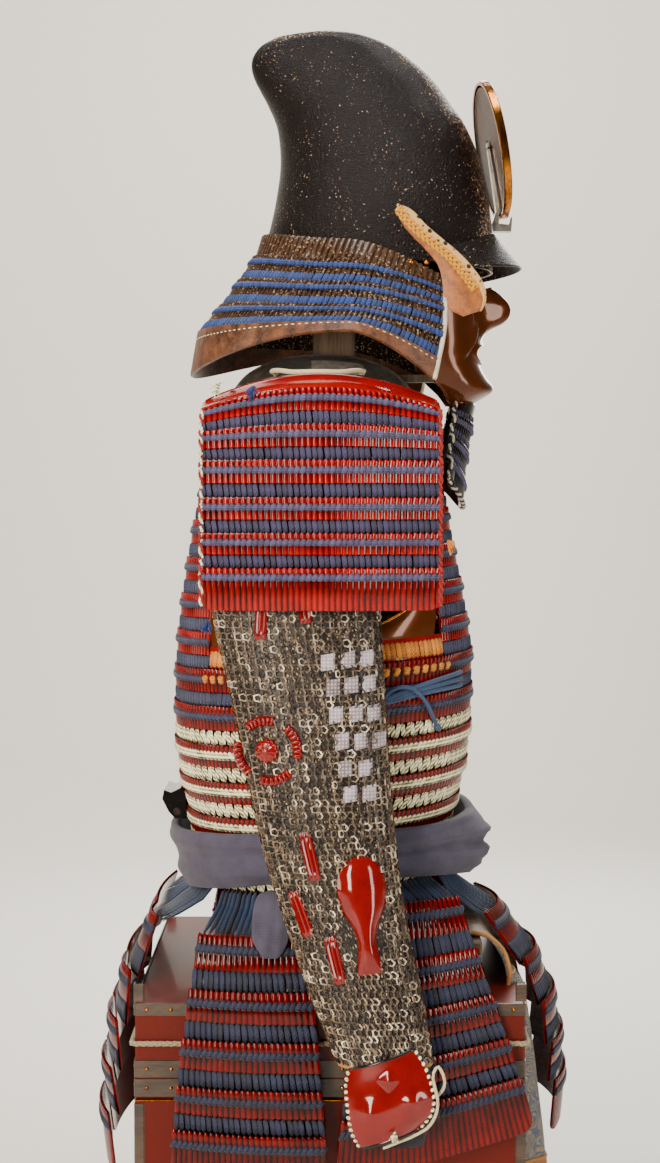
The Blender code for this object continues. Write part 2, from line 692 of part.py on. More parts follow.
def neck_row(back_y, back_z, side_x, side_z, end_x, end_y, end_z):
    """One line round the neck guard's right half, from its front end to the middle of the back."""
    shares = np.linspace(1, 0, 5)[:-1]
    front = np.stack([
        -(side_x + (end_x - side_x) * shares**2),
        NECK_SIDE_Y + (end_y - NECK_SIDE_Y) * shares,
        side_z + (end_z - side_z) * shares**1.5,
    ], axis=-1)
    angles = np.radians(np.linspace(0, 90, 9))
    back = np.stack([
        -side_x * np.cos(angles),
        NECK_SIDE_Y + (back_y - NECK_SIDE_Y) * np.sin(angles),
        side_z + (back_z - side_z) * np.sin(angles) ** 2,
    ], axis=-1)
    return np.concatenate([front, back])


def neck_guard():
    """The helmet's neck guard: four laced rows that widen over the shoulders."""
    rows = [np.array(row, float) for row in NECK_ROWS]
    levels = [(rows[0], 0.0), (rows[0] + (rows[1] - rows[0]) * 0.3, 0.0)]
    for index in range(1, len(rows) - 1):
        step = ROW_STEP / max(rows[index][1] - rows[index + 1][1], 20)
        levels.append((rows[index], 0.0))
        levels.append((rows[index] + (rows[index + 1] - rows[index]) * step, ROW_HEAD))
    levels.append((rows[-1], 1.0))
    half = np.array([neck_row(*row) for row, _ in levels])
    other = half[:, ::-1][:, 1:].copy()
    other[..., 0] *= -1
    base = np.concatenate([half, other], axis=1)
    normal = facing(base, (0, -30, 1200))
    outer = base + normal * np.array([head for _, head in levels])[:, None, None]
    inner = base - normal * SCALE_WALL
    inner[0, :, :2] = base[0, :, :2]
    outer[0], outer[1] = base[0] + normal[0] * (2.5, 2.5, 0), base[1] + normal[1] * (2.5, 2.5, 0)
    inner[1] = base[1] - normal[1] * (0, 0, 0)
    return wall("neck_guard", outer, inner, brown_lacquer())


def ear_flap(side):
    """A turned-back wing at the front end of the neck guard, faced with leather."""
    upper = [(-70, 1274), (-84, 1268), (-100, 1252), (-118, 1237), (-136, 1222), (-150, 1207), (-160, 1192), (-163, 1176),
             (-158, 1164)]
    lower = [(-71, 1268), (-76, 1254), (-88, 1240), (-102, 1226), (-114, 1210), (-118, 1195), (-120, 1178), (-126, 1166),
             (-140, 1158)]
    outer, inner = [], []
    for index, (top, bottom) in enumerate(zip(upper, lower)):
        share = index / (len(upper) - 1)
        row_outer, row_inner = [], []
        for across in (0.0, 0.33, 0.67, 1.0):
            y = top[0] + (bottom[0] - top[0]) * across
            z = top[1] + (bottom[1] - top[1]) * across
            x = -(119.0 - 6 * share + 3 * math.sin(math.pi * across))
            row_outer.append((x - 3, y, z))
            row_inner.append((x, y, z))
        outer.append(row_outer)
        inner.append(row_inner)
    outer, inner = mirrored(outer, side), mirrored(inner, side)
    return wall(side_name("ear_flap", side), outer, inner, lacquer("flap_leather", "B9653A", 0.6))


# Mask

MASK_SECTIONS = [  # height, front y, half width, y where the cheek ends
    (1072, -160, 30, -132),
    (1084, -178, 45, -125),
    (1100, -173, 56, -110),
    (1118, -166, 64, -100),
    (1138, -168, 69, -96),
    (1158, -166, 71, -94),
    (1176, -163, 72, -94),
    (1190, -158, 72, -96),
]
NOSE_SECTIONS = [(1138, 0), (1146, 12), (1156, 32), (1168, 39), (1180, 37), (1190, 31)]  # height, how far it stands out


def mask():
    """A face guard from the cheekbones to the chin, with a round nose and an open mouth."""
    angles = np.radians(np.linspace(-90, 90, 21))
    outer, inner = [], []
    for height in (1072, 1080, 1090, 1102, 1112, 1122, 1134, 1142, 1150, 1159, 1168, 1177, 1186, 1192):
        front, width, end = (float(smoothed(MASK_SECTIONS, c, height)) for c in (1, 2, 3))
        nose = float(np.interp(height, *zip(*NOSE_SECTIONS)))
        for grid, offset in ((outer, 0.0), (inner, 2.5)):
            x = -(width - offset) * np.sin(angles)
            y = end - (end - front - offset) * np.cos(angles) ** 0.8
            y = y - max(0.0, nose - offset * 0.4) * np.exp(-((x / (13 - offset * 0.6)) ** 2))
            z = np.full_like(x, height) + 6 * np.sin(angles) ** 2 * (height > 1180)
            grid.append(np.stack([x, y, z], axis=-1))
    made = wall("mask", np.array(outer), np.array(inner), lacquer("mask_lacquer", "5A2E12", 0.2, 0.3))
    mouth = soft_lump("mouth_cutter", (0, -175, 1126.5), (30, 26, 9.5), brown_lacquer())
    cut(made, mouth)
    return made


def throat_guard():
    """Three laced rows that hang from the chin over the top of the breast."""
    levels = [(1071, 0.0, 0.0), (1052, 0.3, 0.0), (1049, 0.33, ROW_HEAD), (1020, 0.68, 0.0), (1017, 0.7, ROW_HEAD),
              (988, 1.0, 0.0), (985, 1.0, ROW_HEAD), (957, 1.05, 0.0)]
    angles = np.radians(np.linspace(-75, 75, 13))
    base, stand_out = [], []
    for height, share, head in levels:
        width = 32 + 62 * share
        front = -161 + 14 * share
        end = -130 + 12 * share
        x = -width * np.sin(angles)
        y = np.minimum(end - (end - front) * np.cos(angles), cuirass_face(x, min(height, BREAST_TOP), False, 4.0))
        base.append(np.stack([x, y, height + 26 * share * np.sin(angles) ** 2], axis=-1))
        stand_out.append(head)
    base = np.array(base)
    normal = facing(base, (0, -60, 1020))
    outer = base + normal * np.array(stand_out)[:, None, None]
    return wall("throat_guard", outer, base - normal * 2.5, lacquer("black_lacquer", "17120F", 0.25))


# Thigh guards

THIGH_LINE = [  # y, z, how much further back the inner edge lies, behind the front panel of the skirt
    (-133, 474, 0), (-134, 497, 0), (-141, 505, 0), (-164, 505, 4), (-186, 487, 12), (-203, 461, 12), (-209.5, 448, 3),
    (-213, 427, 2), (-222, 380, 6), (-229, 330, 8), (-235, 278, 8), (-238, 240, 8),
]


def thigh_guard(side):
    """A padded cloth apron for one thigh, hung over the stand's lower bar."""
    line = np.array(THIGH_LINE, float)
    across = np.linspace(0, 1, 6)
    base = np.empty((len(line), len(across), 3))
    for column, share in enumerate(across):
        base[:, column, 0] = -(6 + 122 * share) - np.linspace(0, 1, len(line)) * 22 * share
        base[:, column, 1] = line[:, 0] + line[:, 2] * math.sqrt(1 - share)
        base[:, column, 2] = line[:, 1]
    normal = facing(base, (-60, -150, 300))
    return wall(side_name("thigh_guard", side), mirrored(base, side), mirrored(base - normal * 3, side),
                lacquer("brocade", "6F6A58", 0.7))


# Hand guards

def hand_guard(side):
    """A lacquered plate shaped over the back of the hand, its head lying on the end of the sleeve."""
    rows = [  # height, rear y, front y, how far out its middle is
        (416, -19, -82, 288.1), (400, -16, -92, 289.2), (384, -17, -98, 291.6), (368, -19, -101, 293.4),
        (352, -23, -98, 292), (338, -30, -88, 288),
    ]
    outer, inner = [], []
    for height, rear, front, out in rows:
        row = [(-(out - 9 * u**2), (rear + front) / 2 + u * (rear - front) / 2, height - 10 * u) for u in
               np.linspace(-1, 1, 7)]
        outer.append([(x - 3, y, z) for x, y, z in row])
        inner.append(row)
    return wall(side_name("hand_guard", side), mirrored(outer, side), mirrored(inner, side), red_lacquer())


def mitten(side):
    """The cloth hand under the plate: the sleeve's end, flat and open below."""
    angles = np.linspace(0, 360, 13)[:-1]
    outer, inner = [], []
    for height, cy, wide, thick in ((404.7, -55.5, 43, 20), (380, -60, 38, 14), (350, -61, 37, 12), (326, -60, 33, 10)):
        cx = -264 - (404.7 - height) * 0.03
        for grid, offset in ((outer, 0), (inner, -2)):
            a = np.radians(angles)
            grid.append(np.stack([cx - (thick + offset) * np.cos(a), cy - (wide + offset) * np.sin(a),
                                  np.full_like(a, height)], axis=-1))
    return wall(side_name("mitten", side), mirrored(outer, side), mirrored(inner, side),
                lacquer("mitten_cloth", "2A2A33", 0.9), closed=True)


# Free cords

SIDE_TIE = [  # y, z and mm off the cuirass: the free end of the bow that ties the cuirass under the right arm
    (-36, 745, 1.65), (-43, 749.5, 5.5), (-51, 757, 7.5), (-61, 768, 9), (-71, 772.5, 10), (-84, 771, 10), (-94.5, 762, 9),
    (-102, 751, 7), (-108, 737.5, 4.5), (-112.5, 727, 2.5),
]
SIDE_TIE_DIAMETER = 4.5
HAND_CORD = [  # x, y, z: a loop at the knuckles, then down along the edge of the plate
    (-265, -100, 372), (-274, -107.5, 379), (-281, -112.5, 391), (-283.5, -110.5, 403), (-284, -105.8, 410),
    (-285, -101.2, 403), (-286, -102.4, 391), (-286, -105.5, 378), (-285, -103.6, 362), (-284.5, -96.5, 350),
    (-285, -84, 342.3), (-286.5, -66, 335.2), (-287.5, -52, 329.8),
]
HAND_CORD_DIAMETER = 3.2


def on_cuirass(y, height, offset):
    """A point on the right side of the cuirass in front of its seam, at a given y, moved outwards."""
    angles = np.linspace(0, 90, 361)
    ring = cuirass_ring(angles, height + CUIRASS_LEAN * y, offset)
    angle = float(np.interp(-y, -ring[:, 1], angles))
    return cuirass_ring(np.array([angle]), height + CUIRASS_LEAN * y, offset)[0]


def curve_through(points, count):
    """Points evenly spaced along a smooth curve through a few points."""
    points = np.array(points, float)
    along = np.concatenate([[0], np.cumsum(np.linalg.norm(np.diff(points, axis=0), axis=1))])
    table = np.column_stack([along, points])
    at = np.linspace(0, along[-1], count)
    return np.stack([smoothed(table, column, at) for column in (1, 2, 3)], axis=-1)


def free_cords():
    """The cords that end freely: the bow under the right arm, and the doeskin cord of each hand."""
    tie = [on_cuirass(*row) for row in SIDE_TIE]
    tube("side_tie", curve_through(tie, 17), SIDE_TIE_DIAMETER, lacquer("navy_silk", "3D4468", 0.8))
    for side in (RIGHT, LEFT):
        tube(side_name("hand_cord", side), curve_through(mirrored(HAND_CORD, side), 18), HAND_CORD_DIAMETER,
             lacquer("doeskin", "D9C9A0", 0.8))


# Chest and stand

def chest():
    """The travelling chest: an open body, a deep lid over it, and a rope tied round the lid."""
    half = CHEST_SIZE / 2
    wood = lacquer("chest_lacquer", "8C2A12", 0.45)
    body = block("chest_body", (-half, -half, 0), (half, half, CHEST_BODY_TOP), wood, 2)
    hollow = half - CHEST_WALL
    cut(body, block("chest_hollow", (-hollow, -hollow, CHEST_WALL), (hollow, hollow, CHEST_BODY_TOP + 20), wood))
    lid = block("chest_lid", (-half, -half, CHEST_BODY_TOP + GAP), (half, half, CHEST_TOP), wood, 2)
    cut(lid, block("lid_hollow", (-hollow, -hollow, CHEST_BODY_TOP - 20), (hollow, hollow, CHEST_TOP - CHEST_WALL), wood))
    reach, corner, rope = half + 3.4, 4, []
    for turn in range(4):
        for step in (0, 30, 60, 90):
            a = math.radians(turn * 90 + step)
            centre = ((reach - corner) * (1, -1, -1, 1)[turn], (reach - corner) * (1, 1, -1, -1)[turn])
            rope.append((centre[0] + corner * math.cos(a), centre[1] + corner * math.sin(a), 409))
    tube("chest_rope", rope, 6, lacquer("hemp", "8C7F66", 0.9), closed=True)


def stand():
    """The wooden stand inside the armour: foot board, post, lower bar, shoulder bar and head piece."""
    wood = lacquer("stand_wood", "5A4A38", 0.6)
    foot = CHEST_TOP + GAP
    block("stand_foot", (-110, -162, foot), (110, 110, foot + 18), wood, 2)
    post_foot = foot + 18 + GAP
    block("stand_post", (-20, -10, post_foot), (20, 30, 1078), wood, 2)
    block("stand_lower_bar", (-150, -160, post_foot), (150, -142, 501.7), wood, 2)
    inner_z, outer_z = STRAP_LINE[3][1] - STRAP_WALL - 0.7, STRAP_LINE[3][4] - STRAP_WALL - 0.7
    profile = [(-116, 1078 + GAP), (116, 1078 + GAP), (116, outer_z), (STRAP_INNER, inner_z), (26, inner_z),
               (26, 1092), (-26, 1092), (-26, inner_z), (-STRAP_INNER, inner_z), (-116, outer_z)]
    n = len(profile)
    points = [(x, y, z) for y in BAR_DEPTH for x, z in profile]
    faces = [tuple(range(n)), tuple(range(2 * n - 1, n - 1, -1))]
    faces += [(i, (i + 1) % n, (i + 1) % n + n, i + n) for i in range(n)]
    mesh_object("stand_shoulder_bar", points, faces, wood)
    block("stand_neck", (-15, -28, 1092 + GAP), (15, 19, 1284), wood, 2)
    block("stand_head_rail", (-8, -166.5, 1284 + GAP), (8, 54.5, 1300), wood)
    block("stand_chin_rest", (-9, -167.8, 1096), (9, -28 - GAP, 1104), wood)


def waist_bracket():
    """A lacquered bracket behind the waist, which holds the socket of a banner pole."""
    profile = [(159.0, 612), (172, 612), (179, 620), (186, 634), (184, 644), (176, 641), (166, 646), (160.4, 640)]
    return prism("waist_bracket", profile, 34, lacquer("black_lacquer", "17120F", 0.25))


def main():
    for old in list(bpy.data.objects):
        bpy.data.objects.remove(old)
    chest()
    stand()
    cuirass_half("cuirass_front", behind=False)
    cuirass_half("cuirass_back", behind=True)
    cuirass_upper("breast_panel", False, BREAST_TOP, BREAST_ROWS, BREAST_WIDTHS)
    cuirass_upper("back_panel", True, BACK_TOP, BACK_ROWS, BACK_WIDTHS)
    for name, angles, head, foot, bulge, flare, step, sides in SKIRT_PANELS:
        for side in sides:
            skirt_panel(side_name(name, side, sides), angles, head, foot, bulge, flare, step, side)
    sash()
    soft_lump("sash_end", (-212.2, 60, 534), (6, 19, 35), lacquer("sash_cotton", "4A4C66", 0.9))
    waist_bracket()
    free_cords()
    bowl()
    peak()
    crest()
    neck_guard()
    mask()
    throat_guard()
    gourd = [(-1, 0.52), (-0.8, 0.46), (-0.45, 0.36), (-0.2, 0.5), (0.1, 0.86), (0.45, 1.0), (0.75, 0.86), (0.93, 0.5),
             (1, 0.18)]
    rounded = [(-1, 0.3), (-0.7, 0.75), (0, 1), (0.7, 0.75), (1, 0.3)]
    for side in (RIGHT, LEFT):
        armpit_plate(side)
        shoulder_strap(side)
        sleeve(side)
        tree = BVHTree.FromPolygons(*sleeve_faces())
        sleeve_patch("forearm_plate", tree, side, (-34, 556), (25, 58), 6, 9, gourd, 1.1, 7)
        sleeve_patch("elbow_boss", tree, side, (62, 717), (12, 12), 0, 9, rounded, 0.8)
        sleeve_patch("arm_splint", tree, side, (14, 610), (6, 22), 16, 2, [(-1, 1), (1, 1)], 0.6)
        shoulder_guard(side)
        guard_cord(side)
        ear_flap(side)
        thigh_guard(side)
        hand_guard(side)
        mitten(side)


main()
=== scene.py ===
"""Samurai armour on its travelling chest: the looks that go over the CAD part.

Laced armour is rows of small lacquered scales hung on silk cords. Every row here has four bands from its
head down: bare heads, a line of slanted cords, a bare strip, and upright cords that run down behind the
next row's heads.
Tables and sizes are in millimetres in the part's frame, with the front at -Y and the wearer's right at -X.
"""

import math

import bmesh
import bpy
import numpy as np
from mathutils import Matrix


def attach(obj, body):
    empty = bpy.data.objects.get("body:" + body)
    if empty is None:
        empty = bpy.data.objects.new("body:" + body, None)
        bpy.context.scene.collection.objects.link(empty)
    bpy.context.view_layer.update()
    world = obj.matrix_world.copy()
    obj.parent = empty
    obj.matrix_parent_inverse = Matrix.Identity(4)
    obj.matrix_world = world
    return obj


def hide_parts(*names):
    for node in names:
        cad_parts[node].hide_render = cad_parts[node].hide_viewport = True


bl_info = {
    "name": "Samurai armour looks",
    "version": (1, 1, 0),
    "blender": (4, 5, 0),
    "location": "View3D > Sidebar > Armour",
    "description": "Builds the scales, lacing, mail, leather, cloth and metal of a laced armour",
    "category": "Object",
}

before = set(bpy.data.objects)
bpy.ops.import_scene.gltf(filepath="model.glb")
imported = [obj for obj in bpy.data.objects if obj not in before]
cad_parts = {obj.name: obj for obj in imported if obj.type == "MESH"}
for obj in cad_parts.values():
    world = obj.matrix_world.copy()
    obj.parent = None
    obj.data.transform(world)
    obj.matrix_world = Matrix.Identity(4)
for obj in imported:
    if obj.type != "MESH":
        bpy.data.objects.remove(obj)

MM = 0.001
RIGHT, LEFT = -1, 1
SIDES = ((RIGHT, "right"), (LEFT, "left"))

# Shares of a laced row's height, from its head down.
HEADS_END = 0.18
CROSS_END = 0.40
STRIP_END = 0.645

CUIRASS_SECTIONS = [  # height, y at the back, y at the front, half width
    (545, 148, -127, 148),
    (600, 155, -136, 157),
    (640, 160, -146, 166),
    (690, 171, -156, 177),
    (745, 173, -158, 183),
    (800, 172, -158, 184),
    (835, 169, -152, 180),
    (870, 165, -146, 175),
    (920, 157, -136, 166),
    (980, 146, -126, 155),
    (1040, 131, -116, 145),
    (1080, 119, -110, 138),
]
CUIRASS_CORNER = 2.3  # exponent of the oval: 2 is an ellipse, more is squarer
CUIRASS_LEAN = 0.055  # the front stands higher than the back by this share of the depth
CUIRASS_ROWS = [834, 795, 756, 715, 675, 636, 597, 556]  # heads, then the foot
CUIRASS_TOP = 816  # under the arms
BREAST_ROWS = [951, 912, 873, 834]
BREAST_WIDTHS = [(816, 128), (870, 121), (930, 110), (985, 98)]  # height, half width
BREAST_TOP = 985
BACK_ROWS = [1015, 991, 952, 912, 873, 834]
BACK_WIDTHS = [(816, 136), (900, 128), (990, 116), (1078, 96)]
BACK_TOP = 1078

SKIRT_FRACTIONS = [0.0, 0.2, 0.39, 0.575, 0.75, 1.0]  # heads of the five rows, then the foot
# name, angles on the cuirass, head corners, foot corners, bulge, flare in x and y, step, sides
SKIRT_PANELS = [
    ("skirt_back", (-88, -54), ((-6, 188, 507), (-122, 176, 517)), ((-6, 246, 244), (-146, 226, 252)),
     6, (1.2, 3.6), 10, SIDES),
    ("skirt_hip_rear", (-47, 1), ((-184, 134, 516), (-196, 24, 516)), ((-228, 161, 268), (-238, 3, 262)),
     8, (2.6, 1.6), 6, SIDES),
    ("skirt_hip_front", (6, 56), ((-186, -36, 545), (-150, -133, 547)), ((-232, -5, 272), (-220, -209, 326)),
     6, (3, 1.1), 6, SIDES),
    ("skirt_front", (65, 115), ((-82, -164, 513), (82, -164, 513)), ((-100, -238, 281), (100, -238, 281)),
     20, (1.2, 3.6), 7, ((RIGHT, ""),)),
]

GUARD_LINE = [(205, 1091), (232, 1084), (250, 1066), (256, 1040), (259, 1000), (262, 930), (264, 856)]  # x, z
GUARD_HALF_WIDTH = 119
GUARD_CENTRE_Y = 9
GUARD_ROWS = [1076, 1040, 1005, 968, 933, 899, 856]  # heads, then the foot
GUARD_CURVE = 15  # how far its front and rear edges turn towards the body
GUARD_ARCH = 27  # how far the top edge drops at its ends

NECK_SIDE_Y = -20
NECK_ROWS = [  # back y, back z, side x, side z, end x, end y, end z
    (72.2, 1256, 106.1, 1240, 101, -121, 1199),
    (82, 1233, 117, 1217, 108, -121, 1190),
    (99, 1207, 132, 1192, 115, -120, 1171),
    (119, 1179, 150, 1166, 124, -119, 1147),
    (144, 1150, 165, 1147, 137, -112, 1112),
    (154, 1102, 172, 1138, 146, -107, 1090),
]

BOWL_SECTIONS = [  # level, back y, back z, front y, front z, half width
    (0, 71, 1250, -181, 1216, 105),
    (1, 66, 1268, -180, 1262, 104),
    (2, 60, 1296, -175, 1300, 100),
    (3, 55, 1335, -167, 1338, 91),
    (4, 58, 1374, -151, 1376, 77),
    (5, 68, 1400, -135, 1401, 65),
    (6, 77, 1417, -115, 1428, 53),
    (7, 84, 1431, -96, 1446, 43),
    (8, 87, 1444, -76, 1461, 34),
    (9, 85, 1455, -56, 1472, 27),
    (10, 77, 1466, -31, 1480, 20),
    (11, 62, 1475, -7, 1483, 13),
]
BOWL_RIM_SAG = 9

SLEEVE_SECTIONS = [  # height, centre x, rear y, front y, half thickness
    (1094.8, -136.8, 55, -35, 18),
    (1060, -153, 84, -48, 22),
    (1010, -180, 104, -52, 25),
    (950, -203, 114, -52, 28),
    (853, -221, 115, -48, 30),
    (765, -225, 96, -53, 33),
    (686, -228, 80, -58, 34),
    (606, -234, 62, -65, 31),
    (537, -242, 40, -75, 27),
    (468, -253, 15, -90, 25),
    (405, -264, -11, -100, 22),
]

MASK_SECTIONS = [  # height, front y, half width, y where the cheek ends
    (1072, -160, 30, -132),
    (1084, -178, 45, -125),
    (1100, -173, 56, -110),
    (1118, -166, 64, -100),
    (1138, -168, 69, -96),
    (1158, -166, 71, -94),
    (1176, -163, 72, -94),
    (1190, -158, 72, -96),
]

THIGH_LINE = [  # y, z, how much further back the inner edge lies
    (-133, 474, 0), (-134, 497, 0), (-141, 505, 0), (-164, 505, 4), (-186, 487, 12), (-203, 461, 12),
    (-209.5, 448, 3), (-213, 427, 2), (-222, 380, 6), (-229, 330, 8), (-235, 278, 8), (-238, 240, 8),
]

STRAP_LINE = [  # y and z of the inner edge, then x, y and z of the outer edge
    (109, 1076, 94, 92, 1077),
    (92, 1098, 104, 80, 1088),
    (60, 1115, 113, 55, 1096),
    (22, 1121, 118, 20, 1098),
    (-2, 1121, 118, -2, 1098),
    (-35, 1117, 116, -32, 1094),
    (-68, 1103, 110, -60, 1084),
    (-90, 1080, 104, -80, 1064),
    (-103, 1050, 98, -92, 1040),
    (-112, 1018, 95, -98, 1014),
    (-117, 993.2, 94, -103, 993.4),
]
STRAP_INNER = 62  # x of the inner edge
STRAP_WALL = 5

# height, how far it has widened
THROAT_LEVELS = [(1071, 0.0), (1049, 0.33), (1017, 0.7), (985, 1.0), (957, 1.05)]

FLAP_UPPER = [(-70, 1274), (-84, 1268), (-100, 1252), (-118, 1237), (-136, 1222), (-150, 1207), (-160, 1192),
              (-163, 1176), (-158, 1164)]  # y, z
FLAP_LOWER = [(-71, 1268), (-76, 1254), (-88, 1240), (-102, 1226), (-114, 1210), (-118, 1195), (-120, 1178),
              (-126, 1166), (-140, 1158)]

CREST_CENTRE = (0, -179.5, 1352)
CREST_AXIS = (0.0721, -0.9813, 0.1788)  # out of its front
CREST_PROFILE = [  # radius, how far in front of its middle
    (0.01, -1.2), (30, -1.2), (60, -1.5), (66, -1.9), (69.5, -3.2), (72, -4), (75, -4.1), (76.2, -3),
    (76.5, 0.5), (76.2, 4), (75, 5), (73, 5), (71.6, 3.6), (69, 1.6), (60, 1.4), (0.01, 1.4),
]

HAND_ROWS = [  # height, rear y, front y, how far out its middle is
    (416, -19, -82, 288.1),
    (400, -16, -92, 289.2),
    (384, -17, -98, 291.6),
    (368, -19, -101, 293.4),
    (352, -23, -98, 292),
    (338, -30, -88, 288),
]
KNUCKLES = [(-39, 367), (-81, 379)]  # y, z of the two bumps on the hand plate
# z, y, half sizes
MITTEN_ROWS = [(404.7, -55.5, 43, 20), (380, -60, 38, 14), (350, -61, 37, 12), (326, -60, 33, 10)]

SASH_LINE = [  # angle, top height, foot height, stand-off at the top, stand-off at the foot
    (-180, 620, 568, 0.1, 0.4),
    (-135, 612, 552, 6.0, 4.0),
    (-90, 605, 540, 14.0, 3.0),
    (-45, 612, 552, 6.0, 4.0),
    (0, 620, 568, 0.1, 0.4),
    (45, 622, 566, 6.0, 8.0),
    (75, 624, 556, 9.0, 14.0),
    (90, 622, 548, 10.0, 16.0),
    (105, 624, 556, 9.0, 14.0),
    (135, 622, 566, 6.0, 8.0),
    (180, 620, 568, 0.1, 0.4),
]
# share, bulge, knot
SASH_BULGE = [(0.0, 0.0, 0.1), (0.22, 5.0, 0.8), (0.45, 1.0, 1.0), (0.72, 6.0, 0.9), (1.0, 0.0, 0.2)]
SASH_WALL = 8
# the fold over the front: its angle, half width in degrees, and how far it stands out
SASH_KNOT = (78, 16, 20)

BOSS = (62, 717)  # y, z on the sleeve
BOSS_ARCS = [(46, 102), (127, 193), (222, 285), (307, 373)]  # the ribbed plates round the boss, in degrees
# y, z of one end of each splint, then of its other end
SPLINTS = [(67, 862, 69, 830), (25, 635, 15, 593), (36, 575, 22, 537), (0, 532, -10, 492), (26, 878, 24, 846)]
SQUARES = [  # y, z of the quilted cloth squares in the mail
    (2, 805), (-18, 807), (-37, 808), (-3, 780), (-21, 782), (-39, 783), (-6, 753), (-26, 754), (-44, 754),
    (-12, 727), (-31, 727), (-49, 727), (-15, 700), (-35, 700), (-20, 675), (-39, 675),
]
GOURD = [  # share of its length, share of its half width
    (-1, 0.52), (-0.8, 0.46), (-0.45, 0.36), (-0.2, 0.5), (0.1, 0.86), (0.45, 1.0), (0.75, 0.86), (0.93, 0.5),
    (1, 0.18),
]
FOREARM_PLATE = (-34, 556, 25, 58, 6)  # y, z, half width, half length, lean in degrees

SIDE_TIE = [  # y, z and mm off the cuirass: the free end of the bow that ties the cuirass under the right arm
    (-36, 745, 1.65), (-43, 749.5, 5.5), (-51, 757, 7.5), (-61, 768, 9), (-71, 772.5, 10), (-84, 771, 10),
    (-94.5, 762, 9), (-102, 751, 7), (-108, 737.5, 4.5), (-112.5, 727, 2.5),
]
HAND_CORD = [  # x, y, z: a loop at the knuckles, then down along the edge of the plate
    (-265, -100, 372), (-274, -107.5, 379), (-281, -112.5, 391), (-283.5, -110.5, 403), (-284, -105.8, 410),
    (-285, -101.2, 403), (-286, -102.4, 391), (-286, -105.5, 378), (-285, -103.6, 362), (-284.5, -96.5, 350),
    (-285, -84, 342.3), (-286.5, -66, 335.2), (-287.5, -52, 329.8),
]
GUARD_CORD = [  # x, y, z over the shoulder, from strap to strap
    (-113.4, 56, 1096), (-122, 58, 1098), (-150, 60, 1098), (-180, 52, 1097), (-201, 36, 1094),
    (-207, 14, 1094), (-201, -10, 1094), (-180, -26, 1097), (-150, -34, 1098), (-122, -34, 1098),
    (-116.6, -32, 1095),
]

CHEST_HALF = 200
CHEST_BANDS = [(437, 450, "chest_brown"), (373, 391, "chest_brown"), (353, 372, "chest_brown"),
               (348.5, 350, "gilt")]
CHEST_NAILS = [443.5, 382, 362.5]  # heights

CAMERA_PLACE = (-2.1, 0.0, 0.965)
CAMERA_TILT = 2.49  # degrees below the horizon
CAMERA_LENS = 58.04


class ArmourLook(bpy.types.PropertyGroup):
    """Sizes of the fine parts that repeat all over the armour."""

    scale_pitch: bpy.props.FloatProperty(
        name="Scale pitch", description="Width that each scale shows, in millimetres", default=5.95,
        unit="NONE"
    )
    rib_height: bpy.props.FloatProperty(
        name="Rib height", description="How far the middle of a scale stands out, in millimetres",
        default=1.1, unit="NONE"
    )
    cord_width: bpy.props.FloatProperty(
        name="Cord width", description="Width of a silk cord as a share of the scale pitch", default=0.94,
        subtype="FACTOR"
    )
    ring_pitch: bpy.props.FloatProperty(
        name="Ring pitch", description="Distance between the rings of the mail, in millimetres", default=7.2,
        unit="NONE"
    )
    studio_light: bpy.props.FloatProperty(
        name="Studio light", description="Power of the main softbox", default=95.0, unit="POWER"
    )


# Helpers: colour, nodes, lines, surfaces

def linear(colour):
    """An sRGB hex colour as linear RGBA."""
    channels = [int(colour[i:i + 2], 16) / 255 for i in (0, 2, 4)]
    return (*(c / 12.92 if c <= 0.04045 else ((c + 0.055) / 1.055) ** 2.4 for c in channels), 1.0)


def output_of(source):
    """A socket stands for itself, and a node for the first of its outputs that is in use."""
    if isinstance(source, bpy.types.NodeSocket):
        return source
    return next(socket for socket in source.outputs if socket.enabled)


def add_node(tree, kind, values=(), links=(), **settings):
    """Adds a shader node with its settings, the values of its inputs, and links from other nodes into it."""
    made = tree.nodes.new("ShaderNode" + kind)
    for name, value in settings.items():
        setattr(made, name, value)
    for key, value in dict(values).items():
        made.inputs[key].default_value = value
    for key, source in dict(links).items():
        tree.links.new(output_of(source), made.inputs[key])
    return made


def new_material(name, **sockets):
    """A new material with its node tree and its Principled shader, and constants set on that shader."""
    made = bpy.data.materials.new(name)
    made.use_nodes = True
    shader = made.node_tree.nodes["Principled BSDF"]
    for socket, value in sockets.items():
        shader.inputs[socket.replace("_", " ")].default_value = value
    return made, made.node_tree, shader


def finished(made, shader, colour, relief=None):
    """The material, with a colour and a relief led into its shader."""
    links = made.node_tree.links
    links.new(output_of(colour), shader.inputs["Base Color"])
    if relief:
        links.new(output_of(relief), shader.inputs["Normal"])
    return made


def smoothed(table, column, at):
    """A column of a table, as a smooth curve through its rows, at the given values of its first column."""
    rows = np.array([[float(v) for v in row] for row in table])
    rows = rows[np.argsort(rows[:, 0])]
    x, y = rows[:, 0], rows[:, column]
    slope = np.gradient(y, x)
    at = np.clip(np.asarray(at, float), x[0], x[-1])
    i = np.clip(np.searchsorted(x, at, side="right") - 1, 0, len(x) - 2)
    step = x[i + 1] - x[i]
    t = (at - x[i]) / step
    return (
        (2 * t**3 - 3 * t**2 + 1) * y[i]
        + (t**3 - 2 * t**2 + t) * step * slope[i]
        + (3 * t**2 - 2 * t**3) * y[i + 1]
        + (t**3 - t**2) * step * slope[i + 1]
    )


def joined(*coordinates):
    """Points from their coordinates, each spread over the shape of the others."""
    return np.stack(np.broadcast_arrays(*coordinates), axis=-1)


def unit(vectors):
    """Vectors scaled to length 1."""
    vectors = np.asarray(vectors, float)
    return vectors / np.maximum(np.linalg.norm(vectors, axis=-1, keepdims=True), 1e-9)


